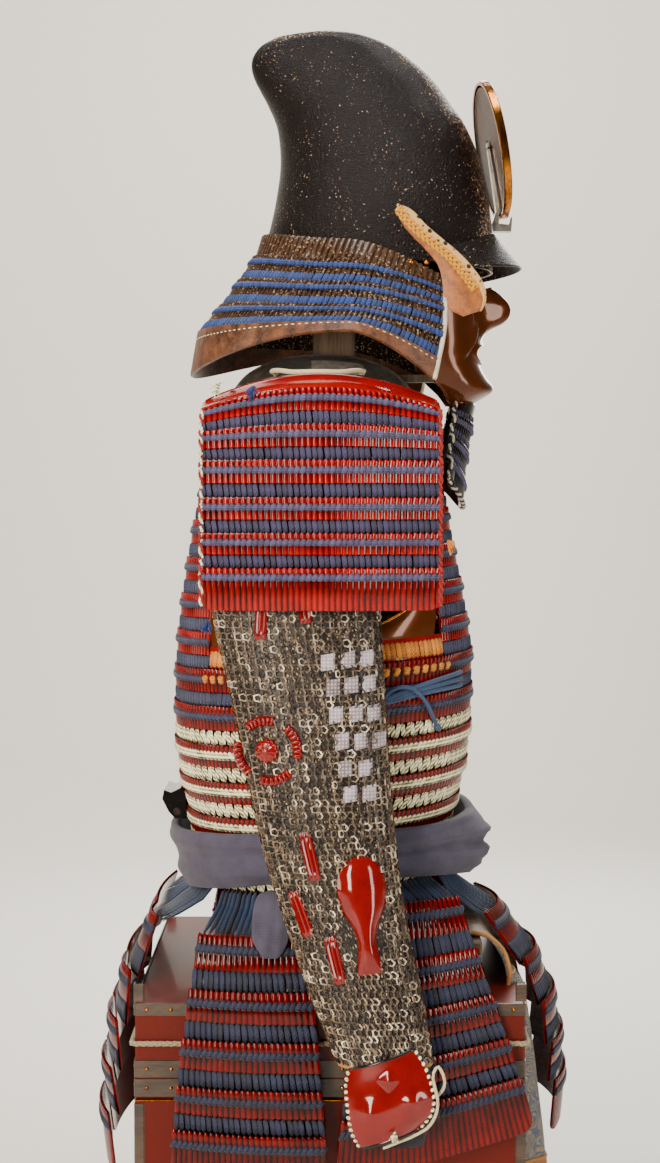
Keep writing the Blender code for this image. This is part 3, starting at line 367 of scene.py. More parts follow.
def facing(grid, away_from):
    """Unit normals of a grid of points, pointing away from a point inside."""
    normal = unit(np.cross(np.gradient(grid, axis=0), np.gradient(grid, axis=1)))
    outward = ((grid - np.array(away_from, float)) * normal).sum()
    return normal if outward > 0 else -normal


def run_of(line):
    """Length along a line up to each of its points."""
    return np.concatenate([[0], np.cumsum(np.linalg.norm(np.diff(line, axis=0), axis=1))])


def resampled(line, count):
    """A smooth line through points, as a given number of points evenly spaced by share of its length."""
    line = np.array(line, float)
    along = run_of(line)
    at = np.linspace(0, along[-1], count)
    table = np.column_stack([along, line])
    return np.stack([smoothed(table, k + 1, at) for k in range(line.shape[1])], axis=-1)


def mirrored(points, side):
    """Points of the right side, moved to the given side."""
    made = np.array(points, float)
    made[..., 0] *= -side
    return made


def path_frame(path, up):
    """Two unit vectors square to a path at each of its points: one sideways to up, and one nearest to up."""
    tangent = unit(np.gradient(path, axis=0))
    side = unit(np.cross(tangent, np.broadcast_to(up, path.shape)))
    return side, np.cross(side, tangent)


def twisted(path, strands, radius, pitch, up=(0.02, 0.01, 1)):
    """The lines of strands laid round a path, each turned once round it every pitch, a radius off it."""
    side, lift = path_frame(path, up)
    turn = run_of(path) / pitch * math.tau
    turns = [turn + math.tau * k / strands for k in range(strands)]
    return [path + radius * (np.cos(t)[:, None] * side + np.sin(t)[:, None] * lift) for t in turns]


def plaited(path, width, height, pitch, up):
    """The lines of a flat plait of three: sideways by a sine, upwards by the sine of twice the turn."""
    side, lift = path_frame(path, up)
    turns = [run_of(path) / pitch * math.tau + math.tau * k / 3 for k in range(3)]
    return [path + width * np.sin(t)[:, None] * side + height * np.sin(2 * t)[:, None] * lift for t in turns]


def turned(profile, centres, axes, segments=12, lobes=0, lobe=0.0):
    """Round pieces: a profile of (radius, height) turned about an axis at each centre, waved by lobes."""
    centres, axes = np.atleast_2d(np.array(centres, float)), unit(np.atleast_2d(axes))
    side = unit(np.cross(axes, np.where(np.abs(axes[:, 2:]) > 0.9, (1.0, 0.0, 0.0), (0.0, 0.0, 1.0))))
    other = np.cross(axes, side)
    turn = np.linspace(0, math.tau, segments + 1)
    radius, height = np.array(profile, float).T
    ring = side[:, None] * np.cos(turn)[None, :, None] + other[:, None] * np.sin(turn)[None, :, None]
    ring = ring * (1 + lobe * np.cos(turn * lobes))[None, :, None]
    return (centres[:, None, None] + axes[:, None, None] * height[None, :, None, None]
            + ring[:, None] * radius[None, :, None, None])


def dome(radius, height, sink=1.0):
    """The profile of a low round head, closed below."""
    return [(0.01, height), (radius * 0.55, height * 0.86), (radius * 0.9, height * 0.42), (radius, 0),
            (radius * 0.9, -sink), (0.01, -sink)]


def wall_grid(outer, inner):
    """One closed grid round a wall: down its outer face, and back up its inner face."""
    return np.concatenate([outer, inner[::-1], outer[:1]])


def tube_grid(path, width, thick=None, sides=10, up=(0, 0, 1), closed=False):
    """A round or flat tube along a path, rounded shut unless it is a loop, and its UV in millimetres."""
    path = np.asarray(path, float)
    width = np.broadcast_to(np.asarray(width, float), (len(path),))
    thick = width if thick is None else np.broadcast_to(np.asarray(thick, float), (len(path),))
    if not closed:
        first, last = path[:1] + (path[:1] - path[1:2]) * 0.02, path[-1:] + (path[-1:] - path[-2:-1]) * 0.02
        path = np.concatenate([first, path, last])
        width, thick = (np.concatenate([[0.0], v[:1] * 0.8, v[1:-1], v[-1:] * 0.8, [0.0]])
                        for v in (width, thick))
    side, lift = path_frame(path, up)
    turn = np.linspace(0, math.tau, sides + 1)
    grid = (
        path[:, None]
        + side[:, None] * (np.cos(turn)[None, :, None] * width[:, None, None] / 2)
        + lift[:, None] * (np.sin(turn)[None, :, None] * thick[:, None, None] / 2)
    )
    if closed:
        grid = np.concatenate([grid[:-1], grid[:1]])
    uv = joined(turn[None] * width.mean() / 2, run_of(path)[:, None])
    return grid, uv


class Surface:
    """Grids of points gathered into one mesh, with a UV in millimetres, a shade and a tint at each point. The
    shade is painted shade; the tint is each cord's random dye, the helmet's painted highlight and the mail's
    wear and painted glints.
    """

    def __init__(self):
        self.points, self.quads, self.uvs, self.shades, self.tints, self.size = [], [], [], [], [], 0

    def add(self, grid, uv=None, shade=1.0, tint=0.5):
        """Adds grids of points: the last three axes are rows, columns and x y z."""
        grid = np.asarray(grid, float)
        rows, columns = grid.shape[-3:-1]
        count = grid.size // (3 * rows * columns)
        self.points.append(grid.reshape(-1, 3))
        corner = np.arange(rows * columns).reshape(rows, columns)
        cell = np.stack([corner[:-1, :-1], corner[:-1, 1:], corner[1:, 1:], corner[1:, :-1]],
                        axis=-1).reshape(-1, 4)
        starts = self.size + np.arange(count) * rows * columns
        self.quads.append((starts[:, None, None] + cell[None]).reshape(-1, 4))
        whole = grid.shape[:-1]
        if uv is None:
            uv = grid[..., 1:]
        self.uvs.append(np.broadcast_to(uv, (*whole, 2)).reshape(-1, 2))
        self.shades.append(np.broadcast_to(shade, whole).reshape(-1))
        self.tints.append(np.broadcast_to(tint, whole).reshape(-1))
        self.size += count * rows * columns

    def tube(self, path, width, thick=None, sides=8, up=(0, 0, 1), closed=False, shade=1.0, tint=0.5):
        """Adds a tube along a path."""
        grid, uv = tube_grid(path, width, thick, sides, up, closed)
        self.add(grid, uv=uv, shade=shade, tint=tint)

    def wall(self, outer, inner, uv=None, shade=1.0, tint=0.5):
        """Adds a wall between two grids, with its four edges closed."""
        self.add(wall_grid(outer, inner), uv=None if uv is None else wall_grid(uv, uv), shade=shade,
                 tint=tint)
        for column in (0, -1):
            self.add(np.stack([outer[:, column], inner[:, column]], axis=1), shade=shade, tint=tint)

    def piece(self, name, look, replaces=(), sharp=50, slot=None):
        """Turns what was gathered into one closed mesh that rides on the part."""
        points, quads = np.concatenate(self.points), np.concatenate(self.quads)
        uvs, shades, tints = (np.concatenate(part) for part in (self.uvs, self.shades, self.tints))
        data = bpy.data.meshes.new(name)
        data.vertices.add(len(points))
        data.vertices.foreach_set("co", (points * MM).astype(np.float32).ravel())
        data.loops.add(quads.size)
        data.loops.foreach_set("vertex_index", quads.astype(np.int32).ravel())
        data.polygons.add(len(quads))
        data.polygons.foreach_set("loop_start", np.arange(0, quads.size, 4, dtype=np.int32))
        data.update(calc_edges=True)
        for attribute, values in (("shade", shades), ("tint", tints)):
            layer = data.attributes.new(attribute, "FLOAT", "POINT")
            layer.data.foreach_set("value", values.astype(np.float32))
        corners = np.empty(quads.size, np.int32)
        data.loops.foreach_get("vertex_index", corners)
        data.uv_layers.new(name="mm").data.foreach_set("uv", uvs[corners].astype(np.float32).ravel())
        shape = bmesh.new()
        shape.from_mesh(data)
        bmesh.ops.remove_doubles(shape, verts=shape.verts, dist=0.00001)
        bmesh.ops.recalc_face_normals(shape, faces=shape.faces)
        shape.to_mesh(data)
        shape.free()
        data.shade_smooth()
        data.set_sharp_from_angle(angle=math.radians(sharp))
        data.materials.append(material(look))
        made = bpy.data.objects.new(name, data)
        bpy.context.scene.collection.objects.link(made)
        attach(made, "root")
        if replaces:
            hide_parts(*replaces)
        return made


# Materials. Pattern scales are per metre on Object coordinates and per millimetre on the UV map.

def lacquered(name, colour, shade_colour, worn, roughness=0.2, gloss=0.3, metallic=0.0, chips=0.66):
    """Brushed lacquer: painted darker by the shade attribute in the grooves between ribs and where a row runs
    under the next, as painted shade. It varies over 20 mm patches and is chipped to its undercoat in specks,
    under a clear gloss that draws sharp highlights along each rib."""
    made, tree, shader = new_material(name, Roughness=roughness, Metallic=metallic, Coat_Weight=gloss,
                                      Coat_Roughness=0.07, Specular_IOR_Level=0.12)
    shade = add_node(tree, "Attribute", attribute_name="shade").outputs["Fac"]
    place = add_node(tree, "TexCoord").outputs["Object"]
    patch = add_node(tree, "TexNoise", {"Scale": 48.0, "Detail": 4.0}, {"Vector": place})
    # painted shade: the shade attribute, with the patch noise, mixes in the dark shade colour
    depth = add_node(tree, "Math", {1: 0.7}, {0: patch, 2: shade}, operation="MULTIPLY_ADD")
    shade_share = add_node(tree, "MapRange", {"From Min": 0.55, "From Max": 1.4}, {"Value": depth})
    coat = add_node(tree, "Mix", {6: linear(shade_colour), 7: linear(colour)}, {0: shade_share}, data_type="RGBA")
    chip = add_node(tree, "TexNoise", {"Scale": 380.0, "Detail": 3.0}, {"Vector": place})
    chipped = add_node(tree, "MapRange", {"From Min": chips, "From Max": chips + 0.05}, {"Value": chip})
    final = add_node(tree, "Mix", {7: linear(worn)}, {0: chipped, 6: coat}, data_type="RGBA")
    brushed = add_node(tree, "Bump", {"Strength": 0.12, "Distance": 0.0004}, {"Height": chip})
    return finished(made, shader, final, brushed)


def braided(name, colour, dark, rib=1.4, sheen=0.12, ribs_show=0.5):
    """Braided silk or laid cord: slanted ribs, each cord dyed a little apart, painted darker in the grooves
    between its ribs and where it tucks in, as painted shade.
    """
    made, tree, shader = new_material(name, Roughness=0.7, Sheen_Weight=sheen, Sheen_Roughness=0.4)
    shade = add_node(tree, "Attribute", attribute_name="shade").outputs["Fac"]
    tint = add_node(tree, "Attribute", attribute_name="tint").outputs["Fac"]
    place = add_node(tree, "UVMap", uv_map="mm")
    rope = add_node(tree, "TexWave", {"Scale": 0.314 / rib, "Distortion": 0.8, "Detail": 1.0},
                    {"Vector": place}, wave_type="BANDS", bands_direction="DIAGONAL")
    # painted shade: the rope's bands and the shade attribute darken the grooves and the tucked-in ends
    lit = add_node(tree, "Math", {1: ribs_show}, {0: rope.outputs["Fac"], 2: shade}, operation="MULTIPLY_ADD")
    dyed = add_node(tree, "Math", {1: 0.55}, {0: tint, 2: lit}, operation="MULTIPLY_ADD")
    depth = add_node(tree, "MapRange", {"From Min": 0.25 + ribs_show * 0.75, "From Max": 1.9},
                     {"Value": dyed})
    silk = add_node(tree, "Mix", {6: linear(dark), 7: linear(colour)}, {0: depth}, data_type="RGBA")
    raised = add_node(tree, "Bump", {"Strength": 0.6, "Distance": 0.0005}, {"Height": rope.outputs["Fac"]})
    return finished(made, shader, silk, raised)


def woven(name, colour, dark, thread=1.6, patch=40.0):
    """Plain weave: two sets of crossing threads, drawn wide so that they show, with faded, soiled patches."""
    made, tree, shader = new_material(name, Roughness=0.9, Sheen_Weight=0.12, Sheen_Roughness=0.5)
    uv = add_node(tree, "UVMap", uv_map="mm")
    place = add_node(tree, "TexCoord").outputs["Object"]
    warp = add_node(tree, "TexWave", {"Scale": 0.314 / thread, "Distortion": 0.7}, {"Vector": uv},
                    wave_type="BANDS", bands_direction="X")
    weft = add_node(tree, "TexWave", {"Scale": 0.314 / thread, "Distortion": 0.7}, {"Vector": uv},
                    wave_type="BANDS", bands_direction="Y")
    cross = add_node(tree, "Math", {}, {0: warp.outputs["Fac"], 1: weft.outputs["Fac"]}, operation="MULTIPLY")
    fade = add_node(tree, "TexNoise", {"Scale": patch, "Detail": 5.0, "Roughness": 0.6}, {"Vector": place})
    sum_up = add_node(tree, "Math", {1: 0.35}, {0: cross, 2: fade}, operation="MULTIPLY_ADD")
    ramp = add_node(tree, "MapRange", {"From Min": 0.35, "From Max": 0.85}, {"Value": sum_up})
    cloth = add_node(tree, "Mix", {6: linear(dark), 7: linear(colour)}, {0: ramp}, data_type="RGBA")
    raised = add_node(tree, "Bump", {"Strength": 0.45, "Distance": 0.0004}, {"Height": cross})
    return finished(made, shader, cloth, raised)


def grained(name, colour, dark, roughness=0.5, metallic=0.0, grain=0.9, stretch=(1, 1, 1), relief=0.4,
            gloss=0.0):
    """Leather, wood or forged metal: fine pores, fibres or hammer marks, stretched along a grain."""
    made, tree, shader = new_material(name, Roughness=roughness, Metallic=metallic, Coat_Weight=gloss,
                                      Coat_Roughness=0.12)
    place = add_node(tree, "TexCoord").outputs["Object"]
    turned_to = add_node(tree, "Mapping", {"Scale": stretch}, {"Vector": place})
    fine = add_node(tree, "TexNoise", {"Scale": 1000 / grain, "Detail": 4.0}, {"Vector": turned_to})
    broad = add_node(tree, "TexNoise", {"Scale": 110 / grain, "Detail": 5.0, "Roughness": 0.62},
                     {"Vector": turned_to})
    both = add_node(tree, "Math", {1: 0.6}, {0: fine, 2: broad}, operation="MULTIPLY_ADD")
    ramp = add_node(tree, "MapRange", {"From Min": 0.62, "From Max": 0.98}, {"Value": both})
    body = add_node(tree, "Mix", {6: linear(dark), 7: linear(colour)}, {0: ramp}, data_type="RGBA")
    raised = add_node(tree, "Bump", {"Strength": relief, "Distance": 0.0005}, {"Height": both})
    return finished(made, shader, body, raised)


def gritty_lacquer(name):
    """Lacquer sprinkled with iron grit over hide: nearly black, with pale specks of 1 to 2 mm that are partly
    grit and partly painted glints. Where the tint attribute is high, along the front ridge and over the top,
    it is painted browner with denser specks, as a painted highlight."""
    made, tree, shader = new_material(name, Roughness=0.3, Specular_IOR_Level=0.2)
    ridge = add_node(tree, "Attribute", attribute_name="tint").outputs["Fac"]
    place = add_node(tree, "TexCoord").outputs["Object"]
    grit = add_node(tree, "TexNoise", {"Scale": 420.0, "Detail": 3.0, "Roughness": 0.6}, {"Vector": place})
    broad = add_node(tree, "TexNoise", {"Scale": 22.0, "Detail": 4.0}, {"Vector": place})
    # painted highlight: the ridge mask makes the pale specks denser
    reach = add_node(tree, "Math", {1: 0.14, 2: -0.07}, {0: ridge}, operation="MULTIPLY_ADD")
    lifted = add_node(tree, "Math", {}, {0: grit, 1: reach}, operation="ADD")
    near = add_node(tree, "Math", {1: 0.16}, {0: broad, 2: lifted}, operation="MULTIPLY_ADD")
    speck = add_node(tree, "MapRange", {"From Min": 0.685, "From Max": 0.72}, {"Value": near})
    # painted highlight: brown along the front ridge and over the top
    ridge_highlight = add_node(tree, "MapRange", {"From Min": 0.3, "From Max": 1.3}, {"Value": ridge})
    base = add_node(tree, "Mix", {6: linear("0C0302"), 7: linear("241108")}, {0: ridge_highlight}, data_type="RGBA")
    # pale specks: partly grit, partly painted glints
    final = add_node(tree, "Mix", {7: linear("D8B494")}, {0: speck, 6: base}, data_type="RGBA")
    raised = add_node(tree, "Bump", {"Strength": 1.0, "Distance": 0.0022}, {"Height": near})
    return finished(made, shader, final, raised)


def mail_wire(name):
    """Iron wire rings, blackened and worn to brown here and there, and a few painted pale cream as painted
    glints: each has its own tint.
    """
    made, tree, shader = new_material(name, Roughness=0.5, Metallic=0.3)
    tint = add_node(tree, "Attribute", attribute_name="tint").outputs["Fac"]
    low = add_node(tree, "MapRange", {"From Min": 0.0, "From Max": 0.6}, {"Value": tint})
    # painted glints: the highest tints turn a ring pale cream
    high = add_node(tree, "MapRange", {"From Min": 0.55, "From Max": 1.0}, {"Value": tint})
    worn = add_node(tree, "Mix", {6: linear("2E2420"), 7: linear("8A7662")}, {0: low}, data_type="RGBA")
    bright = add_node(tree, "Mix", {7: linear("E8DAC0")}, {0: high, 6: worn}, data_type="RGBA")
    return finished(made, shader, bright)


def mail_on_cloth(name):
    """Iron links of about 3 mm seen between the rings, over dark cloth: each has its own grey, and the palest
    greys are painted glints.
    """
    made, tree, shader = new_material(name, Roughness=0.45)
    uv = add_node(tree, "UVMap", uv_map="mm")
    squeezed = add_node(tree, "Mapping", {"Rotation": (0, 0, 0.5), "Scale": (1.25, 0.8, 1)}, {"Vector": uv})
    cell = add_node(tree, "TexVoronoi", {"Scale": 0.3, "Randomness": 0.7}, {"Vector": squeezed}, feature="F1")
    grain = add_node(tree, "MapRange", {"From Min": 0.52, "From Max": 0.3}, {"Value": cell})
    grey = add_node(tree, "SeparateColor", {}, {"Color": cell.outputs["Color"]})
    # painted glints: the paler cells are painted light grey
    bright = add_node(tree, "MapRange", {"From Min": 0.25, "From Max": 1.0}, {"Value": grey})
    iron = add_node(tree, "Mix", {6: linear("2A201C"), 7: linear("C0AE94")}, {0: bright}, data_type="RGBA")
    final = add_node(tree, "Mix", {6: linear("0C0807")}, {0: grain, 7: iron}, data_type="RGBA")
    raised = add_node(tree, "Bump", {"Strength": 0.9, "Distance": 0.0012}, {"Height": grain})
    return finished(made, shader, final, raised)


def spotted(name, colour, spot):
    """Printed leather: soft dark spots of about 4 mm in rows on a pale ground, with fine creases."""
    made, tree, shader = new_material(name, Roughness=0.6)
    place = add_node(tree, "TexCoord").outputs["Object"]
    cell = add_node(tree, "TexVoronoi", {"Scale": 120.0, "Randomness": 0.7}, {"Vector": place})
    crease = add_node(tree, "TexNoise", {"Scale": 700.0, "Detail": 4.0}, {"Vector": place})
    inside = add_node(tree, "MapRange", {"From Min": 0.36, "From Max": 0.26}, {"Value": cell})
    final = add_node(tree, "Mix", {6: linear(colour), 7: linear(spot)}, {0: inside}, data_type="RGBA")
    raised = add_node(tree, "Bump", {"Strength": 0.3, "Distance": 0.0004}, {"Height": crease})
    return finished(made, shader, final, raised)


def brocade(name):
    """Silk brocade: round scrolls of about 16 mm in old gold thread on greyed blue, over a 1.2 mm twill."""
    made, tree, shader = new_material(name, Roughness=0.6, Sheen_Weight=0.15)
    uv = add_node(tree, "UVMap", uv_map="mm")
    cell = add_node(tree, "TexVoronoi", {"Scale": 0.062, "Randomness": 0.8}, {"Vector": uv}, feature="F1")
    curl = add_node(tree, "TexNoise", {"Scale": 0.09, "Detail": 2.0}, {"Vector": uv})
    wound = add_node(tree, "Math", {1: 1.1}, {0: curl, 2: cell}, operation="MULTIPLY_ADD")
    turns = add_node(tree, "Math", {1: 30.0}, {0: wound}, operation="MULTIPLY")
    scroll = add_node(tree, "Math", {}, {0: turns}, operation="SINE")
    thread = add_node(tree, "MapRange", {"From Min": 0.1, "From Max": 0.4}, {"Value": scroll})
    twill = add_node(tree, "TexWave", {"Scale": 0.26, "Distortion": 0.5}, {"Vector": uv},
                     wave_type="BANDS", bands_direction="DIAGONAL")
    lit = add_node(tree, "Math", {}, {0: thread, 1: twill.outputs["Fac"]}, operation="MULTIPLY")
    ground = add_node(tree, "Mix", {6: linear("27324A"), 7: linear("5B6675")}, {0: curl}, data_type="RGBA")
    final = add_node(tree, "Mix", {7: linear("B89A5A")}, {0: lit, 6: ground}, data_type="RGBA")
    raised = add_node(tree, "Bump", {"Strength": 0.5, "Distance": 0.0005}, {"Height": lit})
    return finished(made, shader, final, raised)


MATERIAL_MAKERS = {  # name: how it is made, then its colours and sizes
    "red_lacquer": (lacquered, "780504", "1E0202", "4A0A04", 0.14, 0.9),  # vermilion over black: deep wet red
    "red_scales": (lacquered, "A80505", "1E0101", "5A0503", 0.12, 0.32),
    "shaded_red_scales": (lacquered, "880E05", "180101", "3A0805", 0.2),  # the cuirass: a darker copy of the red scales, as painted shade
    # the skirt's scales: a darker copy of the red scales, as painted shade, since less light falls low on the
    # skirt
    "skirt_scales": (lacquered, "780604", "0E0101", "2A0504", 0.14, 0.3),
    "brown_lacquer": (lacquered, "4E3626", "0C0604", "9A8468", 0.3, 0.15, 0.0, 0.6),
    "black_lacquer": (lacquered, "17110F", "050303", "3A2A20", 0.16, 0.6),
    # over gilt: glossy bronze
    "bronze_lacquer": (lacquered, "5A2A05", "1C0C02", "7A4410", 0.2, 0.45, 0.3, 0.70),
    "chest_red": (lacquered, "C2340F", "5A1206", "3A1408", 0.4, 0.15, 0.0, 0.64),
    "navy_silk": (braided, "363C5E", "0A0C18"),
    "violet_silk": (braided, "524E76", "100F20"),
    "dark_violet_silk": (braided, "38345A", "080812"),
    # the skirt's cords: a darker copy of the navy silk, as painted shade, since less light falls low on the
    # skirt
    "skirt_silk": (braided, "1C2342", "04050C"),
    "skirt_blue_silk": (braided, "223A60", "050A14"),
    "cream_silk": (braided, "FFF8CC", "4A4A1C", 2.4, 0.12, 0.95),
    "orange_silk": (braided, "F0962A", "5A2C06"),
    "blue_silk": (braided, "24448A", "060C20"),
    "tie_silk": (braided, "35517A", "0E1626"),
    "gold_silk": (braided, "F7B32E", "6A3A08"),
    "red_silk": (braided, "A81A14", "2A0404"),
    "pink_silk": (braided, "C8727A", "4A1418"),
    "black_silk": (braided, "15141A", "050508"),
    "doeskin": (braided, "E8D8B0", "8A7448", 4.0, 0.1, 0.2),
    "hemp": (braided, "A89A7C", "3A3020", 2.2),
    "sash_cotton": (woven, "4E4B60", "343242"),
    "mitten_cloth": (woven, "24242E", "121218"),
    "quilted_cloth": (woven, "C8C0CC", "5A4C48", 3.6),
    "edging": (woven, "C08A4A", "8A5A2A", 2.0),
    "strap_leather": (grained, "4C463E", "25211D", 0.5),
    "strap_patch": (grained, "8C8478", "5C564E", 0.6),
    "pale_leather": (grained, "E4DAC6", "B4A68C", 0.6),
    "tan_leather": (grained, "B06628", "74401C", 0.5),
    "smoked_leather": (grained, "7A4C30", "2E1A10", 0.45, 0.0, 1.4),
    "grey_leather": (grained, "80684C", "4A3A2A", 0.6),
    # beaten, darkened in its hollows
    "copper": (grained, "6E3A14", "160803", 0.42, 0.6, 3.0, (1, 1, 0.2), 1.0),
    # beaten gilt copper: upright streaks
    "gilt": (grained, "C8802E", "6A3412", 0.22, 1.0, 2.6, (1, 1, 0.16), 0.5),
    "bright_iron": (grained, "C8C2B8", "8A857C", 0.28, 1.0, 1.2),
    "dark_iron": (grained, "332A23", "14100D", 0.4, 0.8, 1.6),
    "stand_wood": (grained, "6E563C", "3A2A1C", 0.55, 0.0, 2.0, (1, 1, 0.08)),
    "chest_brown": (grained, "4C3624", "1E140C", 0.42, 0.0, 2.0, (0.15, 0.15, 1), 0.4, 0.3),
    "helmet_lacquer": (gritty_lacquer,),
    "mail_wire": (mail_wire,),
    "mail_on_cloth": (mail_on_cloth,),
    "brocade": (brocade,),
    "spotted_leather": (spotted, "D8A868", "1E120A"),
}
MATERIALS = {}


def material(name):
    """The named material, made at its first use."""
    if name not in MATERIALS:
        maker, *values = MATERIAL_MAKERS[name]
        MATERIALS[name] = maker(name, *values)
    return MATERIALS[name]


# Laced rows

class Row:
    """A row of scales, with places given in mm along it, share down it and mm off it."""

    def __init__(self, lines, normals, levels=(0.0, 1.0)):
        self.lines = np.array(lines, float)
        self.normals = np.array(normals, float)
        self.levels = np.array(levels)
        self.width = np.linalg.norm(np.diff(self.lines, axis=1), axis=2).sum(axis=1).mean()
        self.height = np.linalg.norm(np.diff(self.lines, axis=0), axis=2).sum(axis=0).mean()

    def place(self, s, t, out):
        """Points s mm along the row, at a share t down it and out mm off it."""
        s, t, out = np.broadcast_arrays(s, t, out)
        at = np.clip(s / self.width, -0.02, 1.02) * (self.lines.shape[1] - 1)
        i = np.clip(np.floor(at).astype(int), 0, self.lines.shape[1] - 2)
        f = (at - i)[..., None]
        j = np.clip(np.searchsorted(self.levels, t, side="right") - 1, 0, len(self.levels) - 2)
        g = ((t - self.levels[j]) / (self.levels[j + 1] - self.levels[j]))[..., None]
        upper = self.lines[j, i] + (self.lines[j, i + 1] - self.lines[j, i]) * f
        lower = self.lines[j + 1, i] + (self.lines[j + 1, i + 1] - self.lines[j + 1, i]) * f
        j_normal = np.minimum(j, len(self.normals) - 1)
        normal = self.normals[j_normal, i] + (self.normals[j_normal, i + 1] - self.normals[j_normal, i]) * f
        return upper + (lower - upper) * g + normal * out[..., None]


RANDOM = np.random.default_rng(7)


def cords(surface, row, s, t, out, half_width, half_thick, shade=1.0, sides=5):
    """Cords on a row, each given by rows of s, t and out along it, as flattened tubes."""
    ds, dz = np.gradient(s, axis=1), np.gradient(t, axis=1) * row.height
    length = np.hypot(ds, dz) + 1e-9
    turn = np.linspace(0, math.tau, sides + 1)
    across = half_width[..., None] * np.cos(turn)
    grid = row.place(
        s[..., None] - across * (dz / length)[..., None],
        t[..., None] + across * (ds / length)[..., None] / row.height,
        out[..., None] + half_thick[..., None] * np.sin(turn),
    )
    along = np.cumsum(length, axis=1)
    uv = joined(turn * half_width.mean(), along[..., None])
    tint = RANDOM.random(len(s))[:, None, None]
    surface.add(grid, uv=uv, shade=np.broadcast_to(np.asarray(shade)[..., None], grid.shape[:-1]), tint=tint)


def picked_scales(count, spread):
    """The scales whose middles lie between two shares of the row."""
    middles = np.arange(count) + 0.5
    return np.arange(count)[(middles >= spread[0] * count) & (middles < spread[1] * count)]


def upright_cords(surface, row, count, start, end, out=1.0, spread=(0.0, 1.0), slant=0.35, width=1.0,
                  paired=False):
    """Fat upright cords, one for each scale, that start under a strip and end behind the next row's heads.
    Paired ones lean towards and away from each other in turn."""
    pitch = row.width / count
    picked = picked_scales(count, spread)
    if not len(picked):
        return
    steps = np.array([0.0, 0.14, 0.45, 0.8, 1.0])
    centre = (picked[:, None] + 0.5) * pitch + RANDOM.normal(0, 0.06, (len(picked), 1)) * pitch
    lean = np.where(picked % 2, -1, 1)[:, None] if paired else 1
    s = centre + (steps - 0.5)[None] * slant * pitch * lean
    t = start + (end - start) * steps[None] + 0 * s
    lift = np.array([-0.9, 0.7, 1.0, 0.75, -0.6])[None] * out + RANDOM.normal(0, 0.18, (len(picked), 1))
    size = bpy.context.scene.armour.cord_width * width * pitch / 2
    half = np.array([0.0, 1.0, 1.02, 1.0, 0.0])[None] * size + 0 * s
    shade = np.array([0.05, 0.8, 1.0, 0.7, 0.1])[None] + 0 * s
    cords(surface, row, s, t, lift, half, half * 0.55, shade)


def slanted_cords(surface, row, count, start, end, out=1.1, spread=(0.0, 1.0), lean=0.62, direction=1,
                  width=1.0):
    """A line of short cords that slant across the holes of the scales, each tucked in at both ends."""
    pitch = row.width / count
    picked = picked_scales(count, spread)
    if not len(picked):
        return
    steps = np.array([-1.0, -0.6, 0.0, 0.6, 1.0])
    s = (picked[:, None] + 0.5) * pitch + steps[None] * lean * pitch * direction
    middle, reach = (start + end) / 2, (end - start) / 2
    t = middle - steps[None] * reach * 0.9 + 0 * s
    lift = np.array([-0.5, 0.7, 1.0, 0.7, -0.5])[None] * out + RANDOM.normal(0, 0.12, (len(picked), 1))
    half = np.array([0.0, 1.0, 1.08, 1.0, 0.0])[None] * pitch * 0.5 * width + 0 * s
    shade = np.array([0.1, 0.8, 1.0, 0.8, 0.1])[None] + 0 * s
    cords(surface, row, s, t, lift, half, half * 0.75, shade)


def crossed_cords(surface, row, count, start, end, spread=(0.0, 1.0)):
    """Separate knots, each two short cords that cross."""
    knots = max(2, round(count * 0.5))
    for direction, out in ((1, 1.9), (-1, 1.0)):
        slanted_cords(surface, row, knots, start - 0.03, end + 0.03, out, spread, 0.3, direction, 0.5)


SCALE_PROFILE = [  # share down the row, mm off it, shade
    (0.0, 0.0, 0.5),
    (0.03, 0.9, 1.0),
    (0.18, 0.9, 0.75),
    (0.41, 0.6, 0.5),
    (0.63, 0.6, 1.0),
    (0.66, -0.8, 0.2),
    (1.07, -1.5, 0.1),
    (1.07, -3.3, 0.3),
    (0.0, -2.4, 0.4),
    (0.0, 0.0, 0.5),
]
HEM_PROFILE = [
    (0.0, 0.0, 0.5),
    (0.03, 0.9, 1.0),
    (0.14, 0.9, 0.75),
    (0.32, 0.6, 0.5),
    (0.97, 0.6, 1.0),
    (1.0, 0.0, 0.8),
    (1.0, -2.4, 0.4),
    (0.0, -2.4, 0.4),
    (0.0, 0.0, 0.5),
]
PLATE_PROFILE = [
    (0.0, 0.0, 0.8),
    (0.04, 0.8, 1.0),
    (0.97, 0.8, 1.0),
    (1.0, 0.0, 0.8),
    (1.0, -2.4, 0.4),
    (0.0, -2.4, 0.4),
    (0.0, 0.0, 0.8),
]


